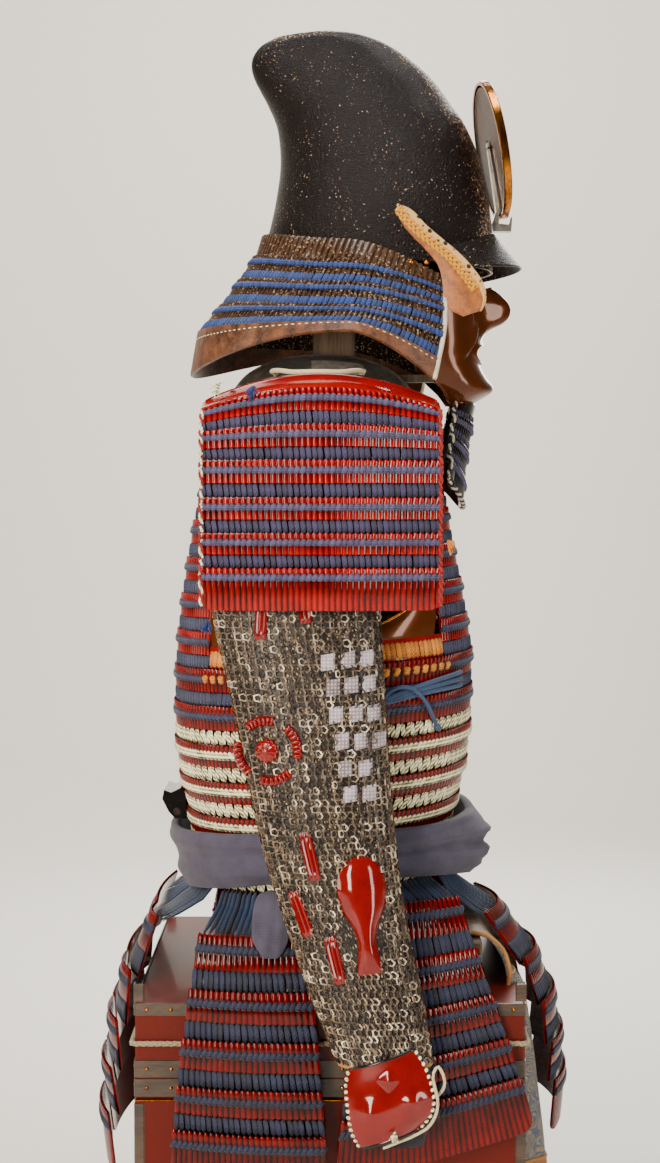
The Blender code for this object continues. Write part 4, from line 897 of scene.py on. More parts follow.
def scales(surface, row, count, profile, rib, corner=0.0, head_wave=0.035):
    """A row's scales as one ribbed strip: each scale is a rounded rib with a sloping head."""
    samples = np.arange(count * 4 + 1)
    s = samples / 4 * row.width / count
    phase = samples % 4
    swell = np.array([0.0, 0.8, 1.0, 0.62])[phase]
    slope = np.array([0.6, 0.0, 0.25, 0.9])[phase]
    u = np.abs(2 * s / row.width - 1)
    shorter = 0.22 * (1 - np.sqrt(1 - np.clip((u - 1 + corner) / corner, 0, 1) ** 2)) if corner else 0 * u
    grids, shades = [], []
    for t, out, shade in profile:
        front = out > -2
        lift = out + rib * (swell - 0.6) * front
        drop = (head_wave * slope if t < 0.1 else 0.0) - (shorter * t if t > 0.5 else 0.0)
        grids.append(row.place(s, t + drop, lift))
        # painted shade: each scale is darker towards the grooves between its ribs
        shades.append(shade * (0.25 + 0.75 * swell) if front and rib else shade + 0 * swell)
    uv = joined(s[None], np.array([p[0] for p in profile])[:, None] * row.height)
    grid, shades = np.array(grids), np.array(shades)
    surface.add(grid, uv=uv, shade=shades)
    for column in (0, -1):
        half = len(profile) // 2
        front, back = grid[:half, column], grid[half:half * 2, column][::-1]
        surface.add(np.stack([front, back], axis=1))


# slant, width and pairing of upright cords, where not as usual
CORD_LOOK = {"cream_silk": (0.62, 0.92, True)}
# the upright cords' own dye, where it isn't the slanted ones'
UPRIGHT_OF = {"violet_silk": "dark_violet_silk"}


class Lacing:
    """The scales and the cords of one panel, gathered by colour."""

    def __init__(self, name, base="red_scales", pitch=None):
        self.name, self.base = name, base
        self.pitch = pitch or bpy.context.scene.armour.scale_pitch
        self.plates, self.silks = Surface(), {}

    def colour(self, name):
        """The surface that gathers the cords of one colour."""
        return self.silks.setdefault(name, Surface())

    def row(self, row, cross, upright, profile=SCALE_PROFILE, corner=0.0, shares=None):
        """Adds a row. cross and upright list a colour, and where it starts and ends along the row."""
        count = max(4, round(row.width / self.pitch))
        heads, crossed, strip = shares or (HEADS_END, CROSS_END, STRIP_END)
        scales(self.plates, row, count, profile, bpy.context.scene.armour.rib_height, corner)
        for colour, first, last in cross:
            if colour == "orange_silk":
                crossed_cords(self.colour(colour), row, count, heads, crossed, (first, last))
            else:
                slanted_cords(self.colour(colour), row, count, heads, crossed, spread=(first, last))
        for colour, first, last in upright:
            slant, width, paired = CORD_LOOK.get(colour, (0.35, 1.0, False))
            dyed = self.colour(UPRIGHT_OF.get(colour, colour))
            upright_cords(dyed, row, count, strip - 0.02, 1.05, spread=(first, last), slant=slant,
                          width=width, paired=paired)

    def plate(self, row, count=12):
        """Adds a plain strip with no ribs."""
        scales(self.plates, row, count, PLATE_PROFILE, 0.0, head_wave=0.0)

    def pieces(self, replaces=(), slot=None):
        """Makes the objects, and hides the CAD nodes that they stand for."""
        self.plates.piece(f"{self.name}_scales", self.base, replaces, sharp=40, slot=slot)
        for colour, surface in self.silks.items():
            surface.piece(f"{self.name}_{colour}", colour, sharp=80)


def whole(colour):
    """A colour along the whole of a row."""
    return [(colour, 0.0, 1.0)]


# Cuirass

def cuirass_ring(angles, height, offset=0.0):
    """Points round the cuirass, an oval. Angle 0 is the right side, 90 the front and -90 the back."""
    back, front, half_width = (smoothed(CUIRASS_SECTIONS, c, height) for c in (1, 2, 3))
    angles = np.radians(angles)
    power = 2 / CUIRASS_CORNER
    middle, depth = (back + front) / 2, (back - front) / 2 + offset
    x = -(half_width + offset) * np.sign(np.cos(angles)) * np.abs(np.cos(angles)) ** power
    y = middle - depth * np.sign(np.sin(angles)) * np.abs(np.sin(angles)) ** power
    return joined(x, y, height - CUIRASS_LEAN * y)


def on_cuirass(y, z, offset=0.0):
    """Points on the right side of the cuirass's front half at given y and z: the oval solved for x."""
    y, z, offset = np.broadcast_arrays(np.asarray(y, float), z, offset)
    height = z + CUIRASS_LEAN * y
    back, front, half_width = (smoothed(CUIRASS_SECTIONS, c, height) for c in (1, 2, 3))
    depth = (back - front) / 2 + offset
    share = np.clip(((back + front) / 2 - y) / depth, 0, 1) ** CUIRASS_CORNER
    return joined(-(half_width + offset) * (1 - share) ** (1 / CUIRASS_CORNER), y, z)


def even_angles(first, last, height, count):
    """Angles between two, so that points on the cuirass's ring at a height are evenly spaced."""
    dense = np.linspace(first, last, 721)
    along = run_of(cuirass_ring(dense, height))
    return np.interp(np.linspace(0, along[-1], count), along, dense)


def ring_row(first, last, head, foot, head_off=0.0, foot_off=-3.5):
    """A row of the cuirass between two angles."""
    angles = even_angles(first, last, (head + foot) / 2, 81)
    lines = [cuirass_ring(angles, head, head_off), cuirass_ring(angles, foot, foot_off)]
    return Row(lines, unit([cuirass_ring(angles, h, 1.0) - cuirass_ring(angles, h) for h in (head, foot)]))


def angle_at(half_width, height, behind):
    """The angle on the cuirass where its ring is that far from the middle plane, on the right."""
    dense = np.linspace(0, 90, 901)
    found = float(np.interp(-half_width, cuirass_ring(dense, height)[:, 0], dense))
    return -found if behind else found


def upper_row(head, foot, widths, behind, head_off=0.0, foot_off=-3.5):
    """A row of the breast or the back above the arms, which is narrower than the ring."""
    lines, normals = [], []
    for height, off in ((head, head_off), (foot, foot_off)):
        edge = angle_at(float(smoothed(widths, 1, height)), height, behind)
        other = (-180 - edge) if behind else 180 - edge
        angles = even_angles(edge, other, height, 61)
        lines.append(cuirass_ring(angles, height, off))
        normals.append(unit(cuirass_ring(angles, height, 1.0) - cuirass_ring(angles, height)))
    return Row(lines, normals)


def row_edge(rows, share, out):
    """A line down one edge of a panel, at a share of its rows' width."""
    steps = np.array([0.1, 0.5, 0.9])
    return np.concatenate([row.place(row.width * share + 0 * steps, steps, out + 0 * steps) for row in rows])


CREAM_SHARES = (0.14, 0.45, 0.6)  # the cream rows' bands, in place of the usual ones
CUIRASS_COLOURS = [  # colours of the slanted cords and the upright cords in each row from the arms down
    ("navy_silk", "navy_silk"),
    ("navy_silk", "cream_silk"),
    ("cream_silk", "cream_silk"),
    ("cream_silk", "cream_silk"),
    ("cream_silk", "cream_silk"),
    ("cream_silk", "cream_silk"),
]


def build_cuirass():
    """Rows round the body, cream laced below and navy above, orange under the arms, and armpit plates."""
    edges = Surface()
    for behind, name, upper_name, rows, widths, top in (
        (False, "cuirass_front", "breast_panel", BREAST_ROWS, BREAST_WIDTHS, BREAST_TOP),
        (True, "cuirass_back", "back_panel", BACK_ROWS, BACK_WIDTHS, BACK_TOP),
    ):
        last = -180 if behind else 180
        edge = angle_at(widths[0][1], CUIRASS_TOP, behind)
        share = abs(edge) / 180
        # the lower rows take the darker copy of the red scales: painted shade
        lower = Lacing(name, "shaded_red_scales")
        for index, (head, foot) in enumerate(zip(CUIRASS_ROWS[1:], CUIRASS_ROWS[2:])):
            cross, upright = CUIRASS_COLOURS[index]
            spans = whole(cross)
            if index == 0:
                spans = [("orange_silk", 0, share), (cross, share, 1 - share), ("orange_silk", 1 - share, 1)]
            shares = CREAM_SHARES if cross == "cream_silk" else None
            lower.row(ring_row(0, last, head, foot), spans, whole(upright), shares=shares)
        for first, end in ((0, edge), (last - edge, last)):
            row = ring_row(first, end, CUIRASS_TOP + 2, CUIRASS_ROWS[1], -3.0, -3.5)
            lower.plate(row, round(row.width / lower.pitch))
            upright_cords(lower.colour("orange_silk"), row, round(row.width / lower.pitch), 0.12, 1.05, 1.6)
        lower.pieces([name])
        upper = Lacing(upper_name)
        spans = zip(rows, rows[1:] + [CUIRASS_ROWS[1]])
        panel = [upper_row(head, foot, widths, behind) for head, foot in spans]
        for row in panel:
            upper.row(row, whole("navy_silk"), whole("navy_silk"))
        plate = upper_row(top, rows[0], widths, behind)
        upper.plate(plate)
        upright_cords(upper.colour("navy_silk"), plate, round(plate.width / upper.pitch), 0.6, 1.07, 1.6)
        upper.pieces([upper_name])
        for share in (0.004, 0.996):
            for line in twisted(resampled(row_edge([plate, *panel[:-1]], share, 1.2), 60), 2, 0.9, 14):
                edges.tube(line, 2.4, sides=6)
    edges.piece("panel_edge_cords", "red_silk")
    for side, word in SIDES:
        angles = np.linspace(-44, 44, 81)
        rise = np.minimum(9 + 32 * (angles / 36) ** 2, 46)
        levels = []
        for share in np.linspace(0, 1, 9):
            swell = 2.4 * math.sin(math.pi * share)
            for offset in (-3.0 + swell, -5.5 + swell):
                ring = cuirass_ring(angles, CUIRASS_TOP + 0.3, offset)
                levels.append(ring + joined(share * 5 + 0 * rise, 0 * rise, share * rise))
        plate, bead = Surface(), Surface()
        plate.wall(mirrored(levels[0::2], side), mirrored(levels[1::2], side))
        plate.piece(f"armpit_plate_{word}_leather", "bronze_lacquer", [f"armpit_plate_{word}"])
        bead.tube(mirrored(levels[-2] + (1, 0, -0.5), side), 3.4, sides=8)
        bead.piece(f"armpit_bead_{word}", "gilt")


# Skirt

def skirt_rows(angles, head, foot, bulge, flare, step, side):
    """The lines and normals of a skirt panel: its curtain of cords, then its five rows."""
    across = np.linspace(0, 1, 41)
    ring = cuirass_ring(np.interp(across, (0, 1), angles), 555.7, -4.0)
    head, foot = np.array(head, float), np.array(foot, float)
    swell = (1 - (2 * across - 1) ** 2)[:, None]
    swell_way = unit((foot[0] + foot[1]) * (1, 1, 0)) * bulge
    head_row = head[0] + (head[1] - head[0]) * across[:, None] + swell * swell_way
    foot_row = foot[0] + (foot[1] - foot[0]) * across[:, None] + swell * swell_way
    flare = np.array([*flare, 1.0])
    levels = [head_row + (foot_row - head_row) * (1 - (1 - share) ** flare) for share in SKIRT_FRACTIONS]
    base = np.array([ring, ring + (head_row - ring) * (0.32, 0.32, 0.65), *levels])
    normal = facing(base, (0, 10, base[..., 2].mean()))
    base, normal = mirrored(base, side), mirrored(normal, side)
    if side == LEFT:
        base, normal = base[:, ::-1], normal[:, ::-1]
    rows = []
    for index in range(2, len(base) - 1):
        foot_off = 1.0 if index == len(base) - 2 else 0.0
        lines = [base[index] + normal[index] * step, base[index + 1] + normal[index + 1] * foot_off]
        rows.append(Row(lines, [normal[index], normal[index + 1]]))
    curtain = Row(base[:3] + np.array([1.0, 1.0, 0.5])[:, None, None] * normal[:3], normal[:3],
                  (0.0, 0.65, 1.0))
    return curtain, rows


def build_skirt():
    """Seven panels of red scales laced in dark navy, hung on long cords, with plain ribbed hems."""
    for name, angles, head, foot, bulge, flare, step, sides in SKIRT_PANELS:
        for side, word in sides:
            full = f"{name}_{word}" if word else name
            curtain, rows = skirt_rows(angles, head, foot, bulge, flare, step, side)
            lacing = Lacing(full, "skirt_scales")
            for row in rows[:-1]:
                lacing.row(row, whole("skirt_silk"), whole("skirt_silk"))
            lacing.row(rows[-1], whole("skirt_silk"), [], HEM_PROFILE, 0.16, shares=(0.14, 0.32, 0.32))
            curtain_cords = lacing.colour("skirt_blue_silk")
            upright_cords(curtain_cords, curtain, round(curtain.width / 6.6), 0.0, 1.06, 1.3, slant=0.1)
            lacing.pieces([full])


# Shoulder guards

def tuft(surface, place, way, length, count=26, spread=0.42, width=1.5):
    """A silk tuft: strands that start at one place and fan out round a direction, drooping at their tips."""
    ways = unit(unit(way) + RANDOM.normal(0, spread, (count, 3)) * 0.6)
    share = np.linspace(0, 1, 5)[:, None]
    for strand in ways:
        droop = (0, 0, -0.25 * length)
        path = np.array(place, float) + strand * share * length * RANDOM.uniform(0.75, 1.1) + share**2 * droop
        surface.tube(path, width, sides=4, shade=np.linspace(0.3, 1.1, 7)[:, None], tint=RANDOM.random())


def guard_row(head, foot, head_off, foot_off, side):
    """A row of a shoulder guard, which curves in over the shoulder at its top."""
    line = np.array(GUARD_LINE, float)
    across = np.linspace(-1, 1, 61)
    height = np.linspace(head, foot, 5)[:, None]
    x = smoothed(line[:, ::-1], 1, height)
    arch = GUARD_ARCH * np.clip((height - 1000) / 90, 0, 1) ** 1.5
    y = GUARD_CENTRE_Y - across * GUARD_HALF_WIDTH
    grid = joined(-(x - GUARD_CURVE * across**2), y, height - arch * across**2)
    normal = facing(grid, (0, 0, 1000))
    middle_off = (head_off + foot_off) / 2
    lines = [
        grid[0] + normal[0] * head_off,
        grid[2] + normal[2] * middle_off,
        grid[-1] + normal[-1] * foot_off,
    ]
    return Row(mirrored(lines, side), mirrored(normal[[0, 2, 4]], side), (0.0, 0.5, 1.0))


def build_shoulder_guards():
    """Both shoulder guards: red scales laced in greyed violet under a plain top plate, ribbed at the foot."""
    for side, word in SIDES:
        lacing = Lacing(f"shoulder_guard_{word}")
        top = guard_row(1090.5, GUARD_ROWS[0], 0.0, 0.0, side)
        lacing.plate(top)
        rows = [top]
        for head, foot in zip(GUARD_ROWS[:-2], GUARD_ROWS[1:-1]):
            rows.append(guard_row(head, foot, 3.5 if head < GUARD_ROWS[0] else 1.0, 0.0, side))
            lacing.row(rows[-1], whole("violet_silk"), whole("violet_silk"))
        rows.append(guard_row(*GUARD_ROWS[-2:], 3.5, 0.5, side))
        lacing.row(rows[-1], whole("violet_silk"), [], HEM_PROFILE, 0.12, shares=(0.14, 0.33, 0.33))
        lacing.pieces([f"shoulder_guard_{word}"])
        edges = {"cream_silk": Surface(), "red_silk": Surface(), "orange_silk": Surface(),
                 "blue_silk": Surface(), "red_lacquer": Surface()}
        rear = resampled(row_edge(rows[1:], 0.006, 1.8), 90)
        front = resampled(row_edge(rows[1:], 0.994, 1.8), 90)
        for line, colour in zip(twisted(rear, 2, 1.3, 17), ("cream_silk", "red_silk")):
            edges[colour].tube(line, 2.9, sides=6)
        for line in twisted(front, 2, 1.3, 17):
            edges["red_silk"].tube(line, 2.9, sides=6)
        head_bead = top.place(np.linspace(0.01, 0.99, 60) * top.width, 0.06, 0.4)
        edges["red_lacquer"].tube(head_bead, 4.4, sides=8)
        for y, z, colour in ((-116, 925, "orange_silk"), (110, 1080, "cream_silk"), (75, 1077, "blue_silk"),
                             (120, 846, "blue_silk")):
            share = (GUARD_CENTRE_Y - y) / GUARD_HALF_WIDTH
            x = -(float(smoothed(np.array(GUARD_LINE, float)[:, ::-1], 1, z)) - GUARD_CURVE * share**2) - 3
            tuft(edges[colour], mirrored((x, y, z), side), (side * 0.8, 0.3 * np.sign(y), -0.5), 13)
        for colour, surface in edges.items():
            surface.piece(f"guard_edging_{colour}_{word}", colour)


# Helmet

def neck_line(back_y, back_z, side_x, side_z, end_x, end_y, end_z):
    """One line round the neck guard, from its right front end round the back to the left one."""
    shares = np.linspace(1, 0, 21)[:-1]
    front = joined(
        -(side_x + (end_x - side_x) * shares**2),
        NECK_SIDE_Y + (end_y - NECK_SIDE_Y) * shares,
        side_z + (end_z - side_z) * shares**1.5,
    )
    angles = np.radians(np.linspace(0, 90, 31))
    back = joined(
        -side_x * np.cos(angles),
        NECK_SIDE_Y + (back_y - NECK_SIDE_Y) * np.sin(angles),
        side_z + (back_z - side_z) * np.sin(angles) ** 2,
    )
    half = np.concatenate([front, back])
    line = np.concatenate([half, half[::-1][1:] * (-1, 1, 1)])
    along = run_of(line)
    at = np.linspace(0, along[-1], 121)
    return np.stack([np.interp(at, along, line[:, k]) for k in range(3)], axis=-1)


def build_neck_guard():
    """A ribbed brown band and rows of brown scales laced in blue, over a plain leather foot."""
    base = np.array([neck_line(*row) for row in NECK_ROWS])
    normal = facing(base, (0, -30, 1200))
    lacing = Lacing("neck_guard", "brown_lacquer", 5.4)
    foot = Lacing("neck_foot", "smoked_leather")
    for index in range(len(base) - 1):
        foot_off = 1.0 if index == len(base) - 2 else 0.0
        head_line = base[index] + normal[index] * (3.0 if index else 2.5)
        row = Row([head_line, base[index + 1] + normal[index + 1] * foot_off],
                  [normal[index], normal[index + 1]])
        if index == 0:
            scales(lacing.plates, row, round(row.width / 6.8), PLATE_PROFILE, 1.2)
        elif index < len(base) - 2:
            lacing.row(row, whole("blue_silk"), whole("blue_silk"))
        else:
            foot.plate(row, 60)
    lacing.pieces(["neck_guard"])
    foot.pieces()
    trim, stitches, rivets = Surface(), Surface(), Surface()
    for side in (0, -1):
        trim.tube(resampled(base[1:, side] + normal[1:, side] * 2.4, 40), 5.4, sides=8)
    line = resampled(base[-2] + (base[-1] - base[-2]) * 0.2 + normal[-1] * 2.9, 400)
    for start in range(0, 396, 4):
        stitches.tube(line[start:start + 3], 1.5, sides=5)
    trim.piece("neck_piping", "pale_leather")
    stitches.piece("neck_stitches", "cream_silk")
    for side in (RIGHT, LEFT):
        spots = mirrored([(-118.5, -85, 1215), (-122, -101, 1214)], side)
        rivets.add(turned(dome(3.2, 2.6), spots, [(side, 0, 0.3)] * 2, 12))
    rivets.piece("neck_rivets", "gilt")


def bowl_grid(levels, angles, offset):
    """Rings of the helmet's bowl from its rim to its top, moved inwards."""
    levels = np.asarray(levels, float)[:, None]
    back_y, back_z, front_y, front_z, width = (smoothed(BOWL_SECTIONS, c, levels) for c in (1, 2, 3, 4, 5))
    middle_y, middle_z = (back_y + front_y) / 2, (back_z + front_z) / 2
    reach = 1 - offset / np.hypot(front_y - middle_y, front_z - middle_z)
    sag = BOWL_RIM_SAG * np.clip(1 - levels, 0, 1)
    return joined(
        -(width - offset) * np.sin(angles),
        middle_y + (front_y - middle_y) * reach * np.cos(angles),
        middle_z + (front_z - middle_z) * reach * np.cos(angles) - sag * np.sin(angles) ** 2,
    )


def build_bowl():
    """The tall bowl of rough dark lacquer, with a painted highlight along the ridge over its front and over
    its top, and its peak.
    """
    angles = np.linspace(0, math.tau, 121)
    levels = np.linspace(0, 11, 78)
    outer, inner = bowl_grid(levels, angles, 0.0), bowl_grid(levels[::3], angles, 3.0)
    # the front ridge, which takes the painted highlight
    off_front = np.degrees(np.abs((angles - math.pi) % math.tau - math.pi))
    near_front = np.exp(-((off_front / 34.0) ** 4))
    outer_middle = outer[-1].mean(axis=0)
    cap = outer_middle + (0, 0, 1.5) + (outer[-1] - outer_middle) * 0.001
    shell = np.concatenate([inner[::-1], outer, [outer[-1] * 0.5 + cap * 0.5 + (0, 0, 0.8)], [cap]])
    inner_middle = inner[-1].mean(axis=0)
    hub = inner_middle + (inner[-1] - inner_middle) * 0.001
    surface = Surface()
    rows = np.concatenate([[0], levels[::3][::-1], levels, [11, 11]])[:, None]
    # the tint attribute here marks the painted highlight along the front ridge and over the top
    surface.add(np.concatenate([[hub], shell]),
                tint=np.maximum(near_front[None], 0.8 * np.clip(rows - 9.6, 0, 1)))
    surface.piece("helmet_bowl_shell", "helmet_lacquer", ["helmet_bowl"])
    angles = np.radians(np.linspace(-62, 62, 81))
    middle = (BOWL_SECTIONS[1][1] + BOWL_SECTIONS[1][3]) / 2
    half = (BOWL_SECTIONS[1][1] - BOWL_SECTIONS[1][3]) / 2
    width = BOWL_SECTIONS[1][5]
    share = np.linspace(0, 1, 13)[:, None]
    out = 2.6 + share * (7 + 23 * np.cos(angles) ** 2)
    height = 1226 + 33 * np.cos(angles) ** 2 - share * (17 + 20 * np.cos(angles) ** 2)
    outer = joined(-(width + out) * np.sin(angles), middle - (half + out) * np.cos(angles), height)
    normal = facing(outer, (0, -60, 1150))
    peak, rim = Surface(), Surface()
    peak.wall(outer, outer - normal * 2.2, tint=0.1)
    peak.piece("helmet_peak_plate", "helmet_lacquer", ["helmet_peak"])
    rim.tube(outer[-1] - normal[-1] * 1.1, 3.0, sides=8)
    rim.piece("helmet_peak_rim", "helmet_lacquer")


def build_ear_flaps():
    """The turned-back wings: tan leather at the root, spotted leather above, a gold plait down the middle."""
    share = np.linspace(0, 1, 41)
    upper = resampled(FLAP_UPPER, 41)
    lower = resampled(FLAP_LOWER, 41)
    across = np.linspace(0, 1, 15)

    def face(step, out):
        y = upper[:, :1] + (lower[:, :1] - upper[:, :1]) * step
        z = upper[:, 1:] + (lower[:, 1:] - upper[:, 1:]) * step
        x = -(119 - 6 * share[:, None] + 3 * np.sin(math.pi * step)) - out
        return joined(x, y, z)

    for side, word in SIDES:
        tan, pale, gold = Surface(), Surface(), Surface()
        tan.wall(mirrored(face(across, 3.0), side), mirrored(face(across, 0.0), side))
        tan.piece(f"ear_flap_leather_{word}", "tan_leather", [f"ear_flap_{word}"])
        band = np.linspace(0.02, 0.5, 9)
        taper = band * (1 - 0.95 * share[:, None])
        pale.wall(mirrored(face(taper, 3.7), side), mirrored(face(taper, 2.8), side))
        edge = resampled(face(np.array([0.0]), 1.5)[:, 0], 60)
        pale.tube(mirrored(edge, side), 3.4, sides=8)
        pale.piece(f"ear_flap_facing_{word}", "spotted_leather")
        middle = np.array([face(np.array([0.72 - 0.6 * s]), 5.0)[i, 0] for i, s in enumerate(share)])[:34]
        for line in plaited(mirrored(resampled(middle, 160), side), 3.6, 1.2, 19, (side, 0, 0)):
            gold.tube(line, 3.9, 2.8, sides=6)
        gold.piece(f"ear_flap_plait_{word}", "gold_silk")


# Mask

MOUTH = (1127, 30, 9.5)  # height of its middle, half width, half height
NOSE_BALL = [  # height, how far the round nose stands out
    (1138, 0), (1148, 4), (1155, 14), (1160, 25), (1166, 33), (1174, 38), (1182, 39), (1189, 36), (1195, 30),
    (1200, 21),
]


def mask_point(angles, heights, offset):
    """Points on the face guard: each height is an arc from cheek to cheek, with a round nose, a lip round the
    mouth, and creases beside the nose added to how far the face stands out."""
    front, width, end = (smoothed(MASK_SECTIONS, c, heights) for c in (1, 2, 3))
    nose = np.where(heights > 1138, smoothed(NOSE_BALL, 1, heights), 0.0)
    x = -(width - offset) * np.sin(angles)
    y = end - (end - front - offset) * np.abs(np.cos(angles)) ** 0.8
    y = y - np.clip(nose - offset * 0.4, 0, None) * np.exp(-((np.abs(x) / (15 - offset * 0.6)) ** 2.6))
    mouth = np.hypot(x / MOUTH[1], (heights - MOUTH[0]) / MOUTH[2])
    lip = 3.4 * np.exp(-(((mouth - 1.16) / 0.13) ** 2))
    wing = 4.6 * np.exp(-(((np.abs(x) - 17) / 6.5) ** 2) - ((heights - 1152) / 7.0) ** 2)
    crease = np.abs(x) - (22 + (1162 - heights) * 0.55)
    ridge_and_groove = 3.2 * np.exp(-(((crease - 6) / 5) ** 2)) - 2.0 * np.exp(-((crease / 3.2) ** 2))
    fold = ridge_and_groove * np.exp(-(((heights - 1142) / 22) ** 4))
    cheek = 4.0 * np.exp(-(((np.abs(x) - 46) / 14) ** 2) - ((heights - 1168) / 15) ** 2)
    chin = 3.5 * np.exp(-((x / 20) ** 2) - ((heights - 1092) / 9) ** 2)
    y = y - (lip + wing + fold + cheek + chin) * np.abs(np.cos(angles)) ** 0.3
    return joined(x, y, heights + 6 * np.sin(angles) ** 2 * (heights > 1180))


def build_mask():
    """The glossy face guard: a sheet with a hole for the mouth, spread from the hole to the sheet's edge."""
    turn = np.linspace(0, math.tau, 145)
    reach = np.linspace(0, 1, 48)[:, None] ** 1.15
    scale = 1 / np.maximum(np.abs(np.cos(turn)), np.abs(np.sin(turn)))
    edge_angle = math.pi / 2 * np.clip(scale * np.cos(turn), -1, 1)
    edge_height = 1132 + 60 * np.clip(scale * np.sin(turn), -1, 1)
    edge_height = edge_height + 8 * np.exp(-((edge_angle / 0.25) ** 2)) * (edge_height > 1180)
    width = smoothed(MASK_SECTIONS, 2, MOUTH[0])
    hole_angle = np.arcsin(MOUTH[1] * np.cos(turn) / width)
    hole_height = MOUTH[0] + MOUTH[2] * np.sin(turn)
    angles = hole_angle + (edge_angle - hole_angle) * reach
    heights = hole_height + (edge_height - hole_height) * reach
    face, rim = Surface(), Surface()
    outer = mask_point(angles, heights, 0.0)
    face.add(wall_grid(outer, mask_point(angles, heights, 2.5)))
    face.piece("mask_face", "bronze_lacquer", ["mask"], sharp=60)
    rim.tube(outer[-1][:-1] + (0, 0.6, 0), 3.4, sides=8, closed=True, up=(0, 1, 0.01))
    rim.piece("mask_rim", "bronze_lacquer")


def build_throat_guard():
    """Three laced rows that hang from the chin over the top of the breast, edged in black and white cord."""
    angles = np.radians(np.linspace(-75, 75, 81))
    levels = np.array([height for height, _ in THROAT_LEVELS], float)[:, None]
    share = np.array([share for _, share in THROAT_LEVELS])[:, None]
    front, end = -161 + 14 * share, -130 + 12 * share
    x = -(32 + 62 * share) * np.sin(angles)
    back, face, half_width = (smoothed(CUIRASS_SECTIONS, c, np.minimum(levels, BREAST_TOP))
                              for c in (1, 2, 3))
    middle = (back + face) / 2
    reach = np.clip(1 - np.abs(x / (half_width + 4)) ** CUIRASS_CORNER, 0, 1) ** (1 / CUIRASS_CORNER)
    y = np.minimum(end - (end - front) * np.cos(angles), middle + (face - 4 - middle) * reach)
    base = joined(x, y, levels + 26 * share * np.sin(angles) ** 2)
    normal = facing(base, (0, -60, 1020))
    lacing = Lacing("throat_guard", "black_lacquer", 5.4)
    rows = []
    for index in range(4):
        head_off, foot_off = (1.0 if index == 0 else 3.5), (0.5 if index == 3 else 0.0)
        lines = [base[index] + normal[index] * head_off, base[index + 1] + normal[index + 1] * foot_off]
        rows.append(Row(lines, [normal[index], normal[index + 1]]))
    lacing.plate(rows[0])
    upright_cords(lacing.colour("dark_violet_silk"), rows[0], round(rows[0].width / 5.4), 0.6, 1.06, 1.6)
    for row in rows[1:3]:
        lacing.row(row, whole("violet_silk"), whole("violet_silk"))
    lacing.row(rows[3], whole("violet_silk"), [], HEM_PROFILE, 0.1, shares=(0.14, 0.4, 0.4))
    lacing.pieces(["throat_guard"])
    cord = {"pale_leather": Surface(), "black_silk": Surface()}
    foot = rows[3].place(np.linspace(0.03, 0.97, 40) * rows[3].width, 1.0, 1.6)
    path = np.concatenate([row_edge(rows, 0.0, 1.6), foot, row_edge(rows, 1.0, 1.6)[::-1]])
    for line, colour in zip(twisted(resampled(path, 220), 2, 1.5, 15), cord):
        cord[colour].tube(line, 3.0, sides=6)
    for colour, surface in cord.items():
        surface.piece(f"throat_edging_{colour}", colour)


def build_straps():
    """The leather straps over the shoulders, piped along both edges, with a rubbed patch on the top."""
    line = resampled(STRAP_LINE, 70)
    share = np.linspace(0, 1, 13)[None, :, None]
    inner_edge = joined(np.full(len(line), -STRAP_INNER), line[:, 0], line[:, 1])
    outer_edge = joined(-line[:, 2], line[:, 3], line[:, 4])
    grid = inner_edge[:, None] + (outer_edge - inner_edge)[:, None] * share
    normal = facing(grid, (-90, 0, 1000))
    for side, word in SIDES:
        leather, piping, patch = Surface(), Surface(), Surface()
        leather.wall(mirrored(grid, side), mirrored(grid - normal * STRAP_WALL, side))
        leather.piece(f"shoulder_strap_leather_{word}", "strap_leather", [f"shoulder_strap_{word}"])
        for column in (0, -1):
            piping.tube(mirrored(grid[:, column] - normal[:, column], side), 4.0, sides=8)
        piping.piece(f"shoulder_strap_piping_{word}", "strap_leather")
        part, lift = grid[22:36, 4:], normal[22:36, 4:]
        patch.wall(mirrored(part + lift * 0.9, side), mirrored(part, side))
        patch.piece(f"shoulder_strap_patch_{word}", "strap_patch")


# Sleeves

def sleeve_section(height, offset=0.0):
    """Centre x, centre y and half sizes of the sleeve at given heights."""
    centre_x, rear, front, thick = (smoothed(SLEEVE_SECTIONS, c, height) for c in (1, 2, 3, 4))
    return centre_x, (rear + front) / 2, thick + offset, (rear - front) / 2 + offset


def sleeve_at(height, angle, offset=0.0):
    """Points on the right sleeve, a squarish oval at each height. Angle 0 faces right, 90 to the front."""
    height, angle = np.broadcast_arrays(np.asarray(height, float), np.radians(angle))
    cx, cy, thick, wide = sleeve_section(height, offset)
    x = cx - thick * np.sign(np.cos(angle)) * np.abs(np.cos(angle)) ** 0.85
    y = cy - wide * np.sign(np.sin(angle)) * np.abs(np.sin(angle)) ** 0.9
    return joined(x, y, height)


def on_sleeve(y, z, offset=0.0):
    """Points on the right sleeve's outer side at given y and z: the oval solved for x."""
    y, z, offset = np.broadcast_arrays(np.asarray(y, float), z, offset)
    cx, cy, thick, wide = sleeve_section(z)
    sine = np.clip(np.abs(y - cy) / wide, 0, 0.98) ** (1 / 0.9)
    return joined(cx - thick * (1 - sine**2) ** 0.425 - offset, y, z)


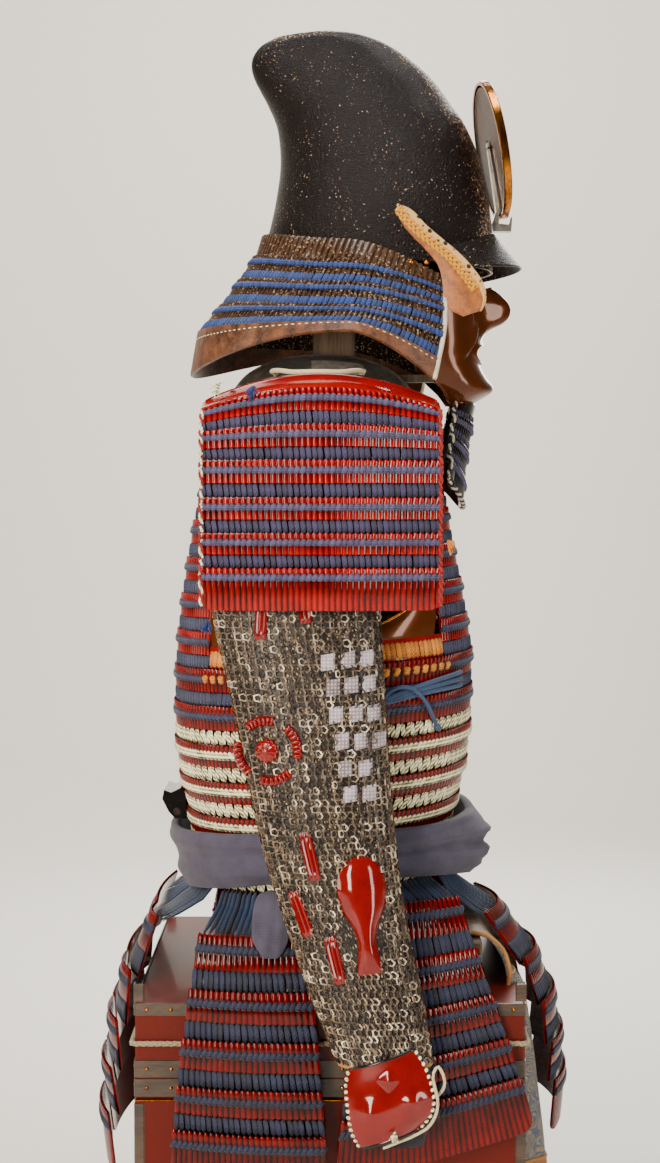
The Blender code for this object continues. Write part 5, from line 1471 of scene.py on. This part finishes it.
def covered(y, z):
    """Which places on the outer side lie under a plate or a square of cloth."""
    under = np.zeros(np.shape(y), bool)
    for y0, z0 in SQUARES:
        under |= (np.abs(y - y0) < 6.5) & (np.abs(z - z0) < 7.5)
    y0, z0, half_width, half_length, _ = FOREARM_PLATE
    under |= np.hypot((y - y0) / half_width, (z - z0) / half_length) < 0.92
    for y1, z1, y2, z2 in SPLINTS:
        way = np.array([y2 - y1, z2 - z1], float)
        share = np.clip(((y - y1) * way[0] + (z - z1) * way[1]) / (way @ way), 0, 1)
        under |= np.hypot(y - y1 - way[0] * share, z - z1 - way[1] * share) < 5.5
    out = np.hypot(y - BOSS[0], z - BOSS[1])
    turn = np.degrees(np.arctan2(z - BOSS[1], y - BOSS[0])) % 360
    for first, last in BOSS_ARCS:
        under |= (out > 24) & (out < 36) & ((turn - first) % 360 < last - first)
    return under | (out < 11)


def mail_rings():
    """Rings of wire in staggered rows round the right sleeve, tilted one way and the other in turn. Each is a
    circle round its own middle, in the plane of the line round the sleeve and the line down it."""
    pitch = bpy.context.scene.armour.ring_pitch
    heights = np.arange(878, 411, -pitch * 0.84)
    dense = np.linspace(0, 360, 721)
    girths = [run_of(sleeve_at(height, dense)) for height in heights]
    columns = round(np.mean([girth[-1] for girth in girths]) / pitch)
    steps = np.arange(columns)[None] + 0.5 * (np.arange(len(heights)) % 2)[:, None]
    shares = steps / columns
    angles = np.array([np.interp(share * girth[-1], girth, dense) for share, girth in zip(shares, girths)])
    level = heights[:, None] + 0 * angles
    middle = sleeve_at(level, angles, 1.2)
    around = unit(sleeve_at(level, angles + 0.5) - sleeve_at(level, angles - 0.5))
    down = unit(sleeve_at(level - 1, angles) - sleeve_at(level + 1, angles))
    outward = unit(sleeve_at(level, angles, 1.0) - sleeve_at(level, angles))
    tilt = np.radians(32) * np.where(np.arange(len(heights)) % 2, 1, -1)[:, None, None]
    keep = ~(covered(middle[..., 1], middle[..., 2]) & (np.cos(np.radians(angles)) > 0))
    across = around * np.cos(tilt) + outward * np.sin(tilt)
    middle, across, down, outward = (v[keep] for v in (middle, across, down, outward))
    turn = np.linspace(0, math.tau, 6)[None, :, None]
    spoke = across[:, None] * np.cos(turn) + down[:, None] * np.sin(turn)
    lift = np.cross(across, down)[:, None]
    section = np.linspace(0, math.tau, 4)
    radius, wire = pitch * 0.52, 0.95
    grid = (middle[:, None] + spoke * radius)[:, :, None] + wire * (
        spoke[:, :, None] * np.cos(section)[:, None] + lift[:, :, None] * np.sin(section)[:, None])
    # a tint for each ring: most dark or worn brown, a few pale as painted glints
    tint = np.clip(RANDOM.beta(0.9, 2.0, len(middle)) * 1.15, 0, 1)
    return grid, tint[:, None, None]


def plate_on_sleeve(surface, side, y, z, rise, base=2.0):
    """A thin plate that follows the sleeve: an outer grid that stands out by its base and its rise."""
    outer = mirrored(on_sleeve(y, z, base + rise), side)
    surface.wall(outer, mirrored(on_sleeve(y, z, 0.4), side))


def build_sleeves():
    """Cloth sleeves under iron mail, with splints, a bossed elbow, a domed plate and quilted squares."""
    heights = np.linspace(1094.8, 405, 64)[:, None]
    angles = np.linspace(180, 540, 65)
    rings, ring_tint = mail_rings()
    for side, word in SIDES:
        outer, inner = sleeve_at(heights, angles), sleeve_at(heights, angles, -2.5)
        around = run_of(outer[30])
        uv = joined(around[None], heights)
        cloth = Surface()
        cloth.add(wall_grid(mirrored(outer, side), mirrored(inner, side)), uv=wall_grid(uv, uv))
        solids = [f"sleeve_arm_{word}", f"sleeve_forearm_{word}"]
        sleeve = cloth.piece(f"sleeve_cloth_{word}", "mail_on_cloth", solids, slot="mail_on_cloth")
        mail = Surface()
        mail.add(mirrored(rings, side), tint=ring_tint)
        mesh = mail.piece(f"sleeve_rings_{word}", "mail_wire", sharp=80)
        red, pads, seam = Surface(), Surface(), Surface()
        u, v = np.meshgrid(np.linspace(-1, 1, 15), np.linspace(-1, 1, 33))
        y0, z0, half_width, half_length, lean = FOREARM_PLATE
        lean = math.radians(lean)
        aside = u * half_width * np.interp(v, *zip(*GOURD))
        along = v * half_length
        rise = 9 * (1 - np.abs(u) ** 2.5) * (1 - v**4)
        plate = Surface()
        plate_on_sleeve(plate, side, y0 + aside * math.cos(lean) + along * math.sin(lean),
                        z0 - aside * math.sin(lean) + along * math.cos(lean), rise)
        plate.piece(f"forearm_plate_lacquer_{word}", "red_lacquer", [f"forearm_plate_{word}"])
        u, v = np.meshgrid(np.linspace(-1, 1, 13), np.linspace(-1, 1, 17))
        for y1, z1, y2, z2 in SPLINTS:
            lean = math.atan2(y1 - y2, z1 - z2)
            half = math.hypot(y1 - y2, z1 - z2) / 2 + 3
            aside, along = u * 6.5 * (1 - 0.25 * v**6), v * half
            rise = (1.6 + 0.9 * np.cos(u * 3 * math.pi)) * (1 - v**6) * (1 - u**8)
            plate_on_sleeve(red, side, (y1 + y2) / 2 + aside * math.cos(lean) + along * math.sin(lean),
                            (z1 + z2) / 2 - aside * math.sin(lean) + along * math.cos(lean), rise)
        u, v = np.meshgrid(np.linspace(-1, 1, 7), np.linspace(0, 1, 43))
        for first, last in BOSS_ARCS:
            turn = np.radians(first + (last - first) * v)
            out = 30 + 4.8 * u
            rise = (0.9 + 2.4 * np.abs(np.sin(v * 7 * math.pi))) * (1 - u**6)
            plate_on_sleeve(red, side, BOSS[0] + out * np.cos(turn), BOSS[1] + out * np.sin(turn), rise)
        red.piece(f"sleeve_splints_{word}", "red_lacquer", [f"arm_splint_{word}"])
        boss = Surface()
        place = on_sleeve(*BOSS)
        profile = [(0.01, 8.5), (3, 8.2), (4.6, 6.4), (7.5, 6.2), (10.5, 4.4), (12.4, 1.8), (12.4, 0.4),
                   (0.01, 0.3)]
        boss.add(mirrored(turned(profile, [place], [(-1, 0.35, 0)], 64, 12, 0.07), side))
        boss.piece(f"elbow_boss_lacquer_{word}", "red_lacquer", [f"elbow_boss_{word}"])
        u, v = np.meshgrid(np.linspace(-1, 1, 11), np.linspace(-1, 1, 11))
        for y0, z0 in SQUARES:
            dimples = 0.8 + 0.2 * np.cos(u * math.tau) * np.cos(v * math.tau)
            rise = 2.4 * (1 - u**4) * (1 - v**4) * dimples
            plate_on_sleeve(pads, side, y0 + u * 7.0, z0 + v * 8.0 - u * 1.2, rise, 1.2)
        pads.piece(f"sleeve_squares_{word}", "quilted_cloth")
        line = sleeve_at(np.linspace(880, 408, 90), 266.0, 1.2)
        seam.tube(mirrored(line, side), 3.0, sides=6)
        cuff = sleeve_at(408.0, np.linspace(0, 360, 61), 0.6)[:-1]
        seam.tube(mirrored(cuff, side), 4.0, sides=8, closed=True)
        seam.piece(f"sleeve_edging_{word}", "edging")


# Hands

def build_hands():
    """The lacquered hand plates, with knuckles, a diamond boss and a dark lip, over dark cloth mittens."""
    u = np.linspace(-1, 1, 41)[None]
    height = np.linspace(HAND_ROWS[0][0], HAND_ROWS[-1][0], 45)[:, None]
    rear, front, out = (smoothed(HAND_ROWS, c, height) for c in (1, 2, 3))
    y = (rear + front) / 2 + u * (rear - front) / 2
    z = height - 10 * u
    bump = sum(4.5 * np.exp(-(((y - y0) / 9) ** 2) - ((z - z0) / 9) ** 2) for y0, z0 in KNUCKLES)
    bump = bump + 4 * np.clip(1 - (np.abs(y + 57.6) + np.abs(z - 399)) / 12, 0, 1)
    inner = joined(-(out - 9 * u**2), y, z)
    outer = inner - joined(3 + bump, 0 * bump, 0 * bump)
    angles = np.radians(np.linspace(0, 360, 49))
    level = np.linspace(MITTEN_ROWS[0][0], MITTEN_ROWS[-1][0], 30)[:, None]
    cy, wide, thick = (smoothed(MITTEN_ROWS, c, level) for c in (1, 2, 3))
    cx = -264 - (404.7 - level) * 0.03
    turn_uv = joined(angles * 28, level)
    cloth = [joined(cx - (thick + off) * np.cos(angles), cy - (wide + off) * np.sin(angles), level)
             for off in (0, -2)]
    for side, word in SIDES:
        red, lip, gold, mitten = Surface(), Surface(), Surface(), Surface()
        red.wall(mirrored(outer, side), mirrored(inner, side))
        red.piece(f"hand_guard_lacquer_{word}", "red_lacquer", [f"hand_guard_{word}"])
        lip.tube(mirrored(outer[-1] + (1.5, 0, 0), side), 5.0, sides=8)
        lip.tube(mirrored(outer[0] + (1.5, 0, 0), side), 3.6, sides=8)
        lip.piece(f"hand_guard_lip_{word}", "black_lacquer")
        tuft(gold, mirrored((-297, -63.5, 349.5), side), (side * 0.6, 0, -0.6), 9, 18)
        for column in (0, -1):
            edge = resampled(outer[:, column] + (1.4, 0, 0), 80)
            for start in range(2, 76, 6):
                gold.tube(mirrored(edge[start:start + 4], side), 4.4, 5.4, sides=6)
        gold.piece(f"hand_guard_stitches_{word}", "cream_silk")
        mitten.add(wall_grid(mirrored(cloth[0], side), mirrored(cloth[1], side)),
                   uv=wall_grid(turn_uv, turn_uv))
        made = mitten.piece(f"mitten_cloth_{word}", "mitten_cloth", [f"mitten_{word}"])


# Sash

def build_sash():
    """Two soft turns of cotton round the waist, creased most over the knot, and the tucked end below it."""
    angles = np.linspace(-180, 180, 181)
    share = np.linspace(0, 1, 27)[:, None]
    top, foot, off_top, off_foot = (smoothed(SASH_LINE, c, angles) for c in (1, 2, 3, 4))
    height = top + (foot - top) * share
    off = 0.4 + off_top + (off_foot - off_top) * share
    ring = cuirass_ring(angles + 0 * height, np.maximum(height, 560), off)
    ring[..., 2] = height
    outward = unit((ring - (0, 10, 0)) * (1, 1, 0))
    bulge, knotted = smoothed(SASH_BULGE, 1, share), smoothed(SASH_BULGE, 2, share)
    near = np.exp(-(((angles - SASH_KNOT[0]) / SASH_KNOT[1]) ** 2))
    wide = np.exp(-(((angles - SASH_KNOT[0]) / 45) ** 2))
    folds = np.sin(share * 21 + np.sin(np.radians(angles) * 3) * 1.4 + angles * 0.035) * (0.7 + 1.9 * wide)
    folds = folds + 1.0 * np.sin(share * 43 + angles * 0.11) * wide
    folds = folds * np.sin(math.pi * share) ** 0.4
    outer = ring + outward * (SASH_WALL + bulge + SASH_KNOT[2] * near * knotted + folds)[..., None]
    uv = joined(angles * 2.9, height)
    cloth, end = Surface(), Surface()
    cloth.add(wall_grid(outer, ring), uv=wall_grid(uv, uv))
    sash = cloth.piece("sash_folds", "sash_cotton", ["sash"], sharp=180)
    turn = np.radians(np.linspace(0, 360, 73))
    rise = np.radians(np.linspace(-89.9, 89.9, 49))[:, None]
    ball = joined(np.cos(rise) * np.cos(turn), np.cos(rise) * np.sin(turn), np.sin(rise))
    ball = ball / ((np.abs(ball) ** 2.4).sum(axis=-1, keepdims=True)) ** (1 / 2.4)
    ball = ball * (1 + 0.05 * np.sin(ball[..., 1:2] * 9 + ball[..., 2:] * 2) * np.cos(rise)[..., None])
    end.add((-212.2, 60, 534) + ball * (6, 19, 35))
    tail = end.piece("sash_end_fold", "sash_cotton", ["sash_end"], sharp=180)
    stud = Surface()
    stud.add(turned([(0.01, 1), (2, 1), (2.4, 2.6), (4, 2.6), (4.4, 0), (0.01, -1)], [(-34, 169, 620)],
                    [(-1, 0, 0)], 24))
    stud.piece("waist_bracket_stud", "dark_iron")


# Thigh guards

def build_thigh_guards():
    """Cloth aprons: grey leather above, brocade below, a tan leather band at the foot, piped in ochre."""
    line = resampled(THIGH_LINE, 70)
    across = np.linspace(0, 1, 33)
    down = np.linspace(0, 1, len(line))[:, None]
    wrap = np.clip((across - 0.72) / 0.28, 0, 1)[None] * np.clip(down * 4 - 0.9, 0, 1)
    x = -(6 + 122 * across)[None] - down * 22 * across[None] + 14 * wrap
    y = line[:, :1] + line[:, 2:] * np.sqrt(1 - across)[None] + 36 * wrap**1.4
    base = joined(x, y, line[:, 1:2] + 0 * x)
    normal = facing(base, (-60, -150, 300))
    uv = joined(122 * across, down * 330)
    top = int(np.argmax(line[:, 1])) + 1
    leather_end = top + int(np.argmax(line[top:, 1] < 461))
    band_start = int(np.argmax((line[:, 1] < 262) & (down[:, 0] > 0.5)))
    for side, word in SIDES:
        surface, edges = Surface(), Surface()
        surface.wall(mirrored(base, side), mirrored(base - normal * 3, side), uv=uv)
        made = surface.piece(f"thigh_guard_cloth_{word}", "brocade", [f"thigh_guard_{word}"])
        for name, look, rows in (("yoke", "grey_leather", slice(0, leather_end)),
                                 ("band", "tan_leather", slice(band_start, len(line)))):
            cover = Surface()
            cover.wall(mirrored(base[rows] + normal[rows] * 1.1, side),
                       mirrored(base[rows] + normal[rows] * 0.1, side))
            cover.piece(f"thigh_guard_{name}_{word}", look)
        for row in (leather_end, band_start):
            edges.tube(mirrored(base[row] + normal[row] * 0.9, side), 2.8, sides=6)
        for column in (0, -1):
            edges.tube(mirrored(base[:, column], side), 4.2, sides=8)
        edges.tube(mirrored(base[-1] - normal[-1] * 1.5, side), 4.6, sides=8)
        edges.piece(f"thigh_guard_edging_{word}", "edging")


# Crest, cords, chest

def build_crest():
    """The round front crest: a shallow dish with a deep rolled rim, turned about its lean, and its clip."""
    disc, rim, clip = Surface(), Surface(), Surface()
    dish = [point for point in CREST_PROFILE if point[0] < 72]
    disc.add(turned(dish, [CREST_CENTRE], [CREST_AXIS], 96))
    disc.piece("crest_disc_beaten", "copper", ["crest_disc"], sharp=35)
    edge = [point for point in CREST_PROFILE if point[0] > 71]
    rim.add(turned(edge + edge[:1], [CREST_CENTRE], [CREST_AXIS], 96))
    rim.piece("crest_disc_rim", "gilt", sharp=35)
    for y, z, turned_way in ((-175.8, 1354, (1, 0, 0)), (-175.8, 1354, (0, 0.18, 1))):
        clip.tube(np.array([(0, y, z)] * 5) + np.linspace(-9, 9, 5)[:, None] * unit(turned_way), 5.0, 2.4,
                  sides=8)
    clip.piece("crest_clip", "dark_iron")


def build_cords():
    """The cords that end freely, each a tube along its path: the side tie and each hand's cord."""
    tie = resampled(on_cuirass(*np.array(SIDE_TIE, float).T), 36)
    cord, knot = Surface(), Surface()
    cord.tube(tie, 4.5, sides=10)
    made = cord.piece("side_tie_cord", "tie_silk", ["side_tie"])
    knot.add(turned([(0.01, 3.6), (2.6, 3.0), (3.9, 1.2), (4.0, -1.0), (2.8, -3.0), (0.01, -3.6)], tie[-1:],
                    [tie[-1] - tie[-2]], 14, 3, 0.08))
    end = knot.piece("side_tie_knot", "tie_silk")
    for side, word in SIDES:
        path = mirrored(resampled(HAND_CORD, 38), side)
        cord = Surface()
        cord.tube(path, 3.2, sides=8)
        made = cord.piece(f"hand_cord_doeskin_{word}", "doeskin", [f"hand_cord_{word}"])


def build_tied_cords():
    """The cords held at both ends: the guards' doeskin cords and the bow's three turns on the cuirass."""
    bow = Surface()
    for head, foot in ((782, 760), (775, 758), (768, 756)):
        y = np.linspace(-140, -57, 40)
        z = np.linspace(head, foot, 40) + 2.5 * np.sin(np.linspace(0, math.pi, 40))
        bow.tube(on_cuirass(y, z, 2.6 + 1.2 * np.sin(np.linspace(0, math.pi, 40))), 5.2, sides=8)
    bow.piece("side_tie_turns", "tie_silk")
    for side, word in SIDES:
        cord = Surface()
        cord.tube(mirrored(resampled(GUARD_CORD, 90), side), 5.0, sides=10)
        cord.piece(f"guard_cord_doeskin_{word}", "doeskin", [f"guard_cord_{word}"])


def square_path(half, height, count=24):
    """A closed square round the chest with its corners rounded to 3 mm, its points spaced along it."""
    corner = 3.0
    reach = half - corner
    turn = np.radians(np.arange(0, 91, 30))
    points = []
    for quarter, (sx, sy) in enumerate(((1, 1), (-1, 1), (-1, -1), (1, -1))):
        around = turn + math.radians(90 * quarter)
        points += [(sx * reach + corner * math.cos(a), sy * reach + corner * math.sin(a), height)
                   for a in around]
    points.append(points[0])
    points = np.array(points)
    along = run_of(points)
    at = np.unique(np.concatenate([along, np.linspace(0, along[-1], count * 4 + 1)]))
    return np.stack([np.interp(at, along, points[:, k]) for k in range(3)], axis=-1)


def build_chest():
    """The chest's lacquered hoops, corner bands and nails, and the rope round its lid."""
    hoops = {}
    for foot, head, look in CHEST_BANDS:
        outer = np.array([square_path(CHEST_HALF + reach, height) for height, reach in
                          ((head, 0.3), (head - 0.4, 1.3), (foot + 0.4, 1.3), (foot, 0.3))])
        inner = np.array([square_path(CHEST_HALF - 0.3, height) for height in (head, foot)])
        hoops.setdefault(look, Surface()).add(np.concatenate([outer, inner[::-1], outer[:1]]))
    for sx in (-1, 1):
        for sy in (-1, 1):
            for z0, z1 in ((2, 346), (452, 470)):
                ends = [(CHEST_HALF - 9, 0.2), (CHEST_HALF - 8.6, 1.1), (CHEST_HALF + 1.1, 1.1)]
                line = [(a, CHEST_HALF + b) for a, b in ends] + [(CHEST_HALF + b, a) for a, b in ends[::-1]]
                outer = np.array([[(sx * x, sy * y, z) for x, y in line] for z in (z0, z1)])
                inner = outer - unit(outer * (1, 1, 0)) * (1.4, 1.4, 0)
                hoops["chest_brown"].wall(outer, inner)
    for look, surface in hoops.items():
        surface.piece(f"chest_{look}_bands", look)
    nails = Surface()
    along = np.linspace(-188, 188, 16)
    reach = CHEST_HALF + 1.2
    for x, y, axis in ((1, 0, (1, 0, 0)), (-1, 0, (-1, 0, 0)), (0, 1, (0, 1, 0)), (0, -1, (0, -1, 0))):
        for height in CHEST_NAILS:
            centres = joined(x * reach + abs(y) * along, y * reach + abs(x) * along, height + 0 * along)
            nails.add(turned(dome(2.3, 1.7, 0.5), centres, [axis] * len(along), 8))
    nails.piece("chest_nails", "gilt")
    rope = Surface()
    path = square_path(CHEST_HALF + 3.4, 409, 110)
    path = resampled(path[:-1], 420)
    path = np.concatenate([path, path[:1]])
    for line in twisted(path, 3, 1.55, run_of(path)[-1] / 74):
        rope.tube(line[:-1], 3.0, sides=6, closed=True)
    rope.piece("chest_rope_laid", "hemp", ["chest_rope"])


NODE_LOOKS = [  # CAD nodes that stay as they are, and the material that goes in their slot
    ("crest_bracket", "bright_iron"),
    ("chest_body", "chest_red"),
    ("chest_lid", "chest_red"),
    ("stand_foot", "stand_wood"),
    ("stand_post", "stand_wood"),
    ("stand_lower_bar", "stand_wood"),
    ("stand_shoulder_bar", "stand_wood"),
    ("stand_neck", "stand_wood"),
    ("stand_head_rail", "stand_wood"),
    ("stand_chin_rest", "stand_wood"),
    ("waist_bracket", "black_lacquer"),
]


def dress_nodes():
    """Finished materials in the slots of the CAD nodes that stay."""
    for name, look in NODE_LOOKS:
        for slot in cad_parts[name].material_slots:
            slot.material = material(look)


# Stage

LAMPS = [  # name, place, where it aims, width and height, share of the studio light, colour
    ("key", (-2.4, 0.95, 1.45), (0, 0, 0.95), (0.6, 1.8), 1.0, "FFF3E2"),
    ("front", (-1.7, -2.3, 1.2), (0, 0, 0.9), (0.5, 2.0), 0.4, "FFF6EA"),
    ("rear", (-1.2, 2.6, 1.3), (0, 0, 0.9), (0.5, 2.0), 0.35, "FFE8CC"),
    ("top", (-0.4, 0.0, 3.4), (0, 0, 0.0), (1.2, 1.2), 0.6, "FFFFFF"),
    ("back", (2.4, -0.6, 2.0), (0, 0, 0.9), (1.4, 1.8), 0.5, "FFFFFF"),
    ("wall", (1.6, 0.0, 3.4), (4.5, 0, 0.6), (3.0, 1.0), 2.0, "FFFCF6"),
]


def build_stage():
    """The camera at the photo's angle, a pale floor that curves up behind, and soft studio light."""
    scene = bpy.context.scene
    camera = bpy.data.objects.new("camera", bpy.data.cameras.new("camera"))
    camera.location = CAMERA_PLACE
    camera.rotation_euler = (math.radians(90 - CAMERA_TILT), 0, math.radians(-90))
    camera.data.lens = CAMERA_LENS
    camera.data.sensor_width = 36
    scene.collection.objects.link(camera)
    scene.camera = camera
    data = bpy.data.meshes.new("floor")
    curve = [(-15, 0), (3.0, 0)] + [(3.0 + 1.5 * math.sin(a), 1.5 - 1.5 * math.cos(a)) for a in
                                    np.linspace(0, math.pi / 2, 17)[1:]] + [(4.5, 9)]
    points = [(x, y, z) for x, z in curve for y in (-15, 15)]
    data.from_pydata(points, [], [(i, i + 1, i + 3, i + 2) for i in range(0, len(points) - 2, 2)])
    data.shade_smooth()
    floor = bpy.data.objects.new("floor", data)
    made, _, _ = new_material("floor_paint", Roughness=0.85, Base_Color=linear("E6E2DA"))
    data.materials.append(made)
    scene.collection.objects.link(floor)
    world = bpy.data.worlds.new("studio")
    world.use_nodes = True
    world.node_tree.nodes["Background"].inputs["Color"].default_value = linear("D2CEC8")
    world.node_tree.nodes["Background"].inputs["Strength"].default_value = 0.2
    scene.world = world
    for name, place, aim, size, share, colour in LAMPS:
        lamp = bpy.data.lights.new(name, "AREA")
        lamp.shape = "RECTANGLE"
        lamp.size, lamp.size_y = size
        lamp.energy = scene.armour.studio_light * share
        lamp.color = linear(colour)[:3]
        thing = bpy.data.objects.new(name, lamp)
        thing.location = place
        way = unit(np.array(aim, float) - np.array(place, float))
        thing.rotation_euler = (math.acos(-way[2]), 0, math.atan2(way[1], way[0]) - math.pi / 2)
        scene.collection.objects.link(thing)


# Operators and panel

class ARMOUR_OT_stage(bpy.types.Operator):
    """Adds the camera at the photo's angle, a pale floor and soft studio light"""

    bl_idname = "armour.stage"
    bl_label = "Camera and studio"

    def execute(self, context):
        build_stage()
        return {"FINISHED"}


class ARMOUR_OT_cords(bpy.types.Operator):
    """Builds the tie under the right arm and the doeskin cord of each hand"""

    bl_idname = "armour.cords"
    bl_label = "Free cords"

    def execute(self, context):
        build_cords()
        return {"FINISHED"}


class ARMOUR_OT_cuirass(bpy.types.Operator):
    """Builds the laced rows of the cuirass, its breast and back, and the armpit plates"""

    bl_idname = "armour.cuirass"
    bl_label = "Cuirass"

    def execute(self, context):
        build_cuirass()
        return {"FINISHED"}


class ARMOUR_OT_skirt(bpy.types.Operator):
    """Builds the seven laced panels of the skirt"""

    bl_idname = "armour.skirt"
    bl_label = "Skirt"

    def execute(self, context):
        build_skirt()
        return {"FINISHED"}


class ARMOUR_OT_sash(bpy.types.Operator):
    """Builds the cotton sash and its tucked end"""

    bl_idname = "armour.sash"
    bl_label = "Sash"

    def execute(self, context):
        build_sash()
        return {"FINISHED"}


class ARMOUR_OT_straps(bpy.types.Operator):
    """Builds the leather straps over the shoulders"""

    bl_idname = "armour.straps"
    bl_label = "Shoulder straps"

    def execute(self, context):
        build_straps()
        return {"FINISHED"}


class ARMOUR_OT_shoulder_guards(bpy.types.Operator):
    """Builds both laced shoulder guards"""

    bl_idname = "armour.shoulder_guards"
    bl_label = "Shoulder guards"

    def execute(self, context):
        build_shoulder_guards()
        return {"FINISHED"}


class ARMOUR_OT_tied_cords(bpy.types.Operator):
    """Builds the cords that are held at both ends"""

    bl_idname = "armour.tied_cords"
    bl_label = "Tied cords"

    def execute(self, context):
        build_tied_cords()
        return {"FINISHED"}


class ARMOUR_OT_throat_guard(bpy.types.Operator):
    """Builds the laced guard that hangs from the chin"""

    bl_idname = "armour.throat_guard"
    bl_label = "Throat guard"

    def execute(self, context):
        build_throat_guard()
        return {"FINISHED"}


class ARMOUR_OT_mask(bpy.types.Operator):
    """Builds the lacquered face guard"""

    bl_idname = "armour.mask"
    bl_label = "Mask"

    def execute(self, context):
        build_mask()
        return {"FINISHED"}


class ARMOUR_OT_neck_guard(bpy.types.Operator):
    """Builds the laced neck guard"""

    bl_idname = "armour.neck_guard"
    bl_label = "Neck guard"

    def execute(self, context):
        build_neck_guard()
        return {"FINISHED"}


class ARMOUR_OT_ear_flaps(bpy.types.Operator):
    """Builds the turned-back leather wings"""

    bl_idname = "armour.ear_flaps"
    bl_label = "Ear flaps"

    def execute(self, context):
        build_ear_flaps()
        return {"FINISHED"}


class ARMOUR_OT_bowl(bpy.types.Operator):
    """Builds the helmet's bowl and peak"""

    bl_idname = "armour.bowl"
    bl_label = "Helmet bowl"

    def execute(self, context):
        build_bowl()
        return {"FINISHED"}


class ARMOUR_OT_crest(bpy.types.Operator):
    """Builds the round front crest"""

    bl_idname = "armour.crest"
    bl_label = "Crest"

    def execute(self, context):
        build_crest()
        return {"FINISHED"}


class ARMOUR_OT_sleeves(bpy.types.Operator):
    """Builds the mail sleeves and their plates"""

    bl_idname = "armour.sleeves"
    bl_label = "Sleeves"

    def execute(self, context):
        build_sleeves()
        return {"FINISHED"}


class ARMOUR_OT_hands(bpy.types.Operator):
    """Builds the hand plates and mittens"""

    bl_idname = "armour.hands"
    bl_label = "Hands"

    def execute(self, context):
        build_hands()
        return {"FINISHED"}


class ARMOUR_OT_thigh_guards(bpy.types.Operator):
    """Builds the cloth and leather thigh guards"""

    bl_idname = "armour.thigh_guards"
    bl_label = "Thigh guards"

    def execute(self, context):
        build_thigh_guards()
        return {"FINISHED"}


class ARMOUR_OT_chest(bpy.types.Operator):
    """Builds the chest's hoops, nails and rope"""

    bl_idname = "armour.chest"
    bl_label = "Travelling chest"

    def execute(self, context):
        build_chest()
        return {"FINISHED"}


class ARMOUR_OT_finishes(bpy.types.Operator):
    """Puts finished materials on the CAD nodes that stay"""

    bl_idname = "armour.finishes"
    bl_label = "CAD finishes"

    def execute(self, context):
        dress_nodes()
        return {"FINISHED"}


STEPS = [  # in the order in which they are made
    ARMOUR_OT_stage, ARMOUR_OT_cords, ARMOUR_OT_cuirass, ARMOUR_OT_skirt, ARMOUR_OT_sash,
    ARMOUR_OT_straps, ARMOUR_OT_shoulder_guards, ARMOUR_OT_tied_cords, ARMOUR_OT_throat_guard,
    ARMOUR_OT_mask, ARMOUR_OT_neck_guard, ARMOUR_OT_ear_flaps, ARMOUR_OT_bowl, ARMOUR_OT_crest,
    ARMOUR_OT_sleeves, ARMOUR_OT_hands, ARMOUR_OT_thigh_guards, ARMOUR_OT_chest, ARMOUR_OT_finishes,
]


class ARMOUR_PT_panel(bpy.types.Panel):
    """The sizes, and a button for each group of the armour."""

    bl_label = "Armour"
    bl_space_type = "VIEW_3D"
    bl_region_type = "UI"
    bl_category = "Armour"

    def draw(self, context):
        look = context.scene.armour
        for name in ("scale_pitch", "rib_height", "cord_width", "ring_pitch", "studio_light"):
            self.layout.prop(look, name)
        for step in STEPS:
            self.layout.operator(step.bl_idname)


CLASSES = [ArmourLook, *STEPS, ARMOUR_PT_panel]


def register():
    for made in CLASSES:
        bpy.utils.register_class(made)
    bpy.types.Scene.armour = bpy.props.PointerProperty(type=ArmourLook)


def unregister():
    del bpy.types.Scene.armour
    for made in reversed(CLASSES):
        bpy.utils.unregister_class(made)


def main():
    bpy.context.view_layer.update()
    register()
    for step in STEPS:
        getattr(bpy.ops.armour, step.bl_idname.split(".")[1])()


if __name__ == "__main__":
    main()
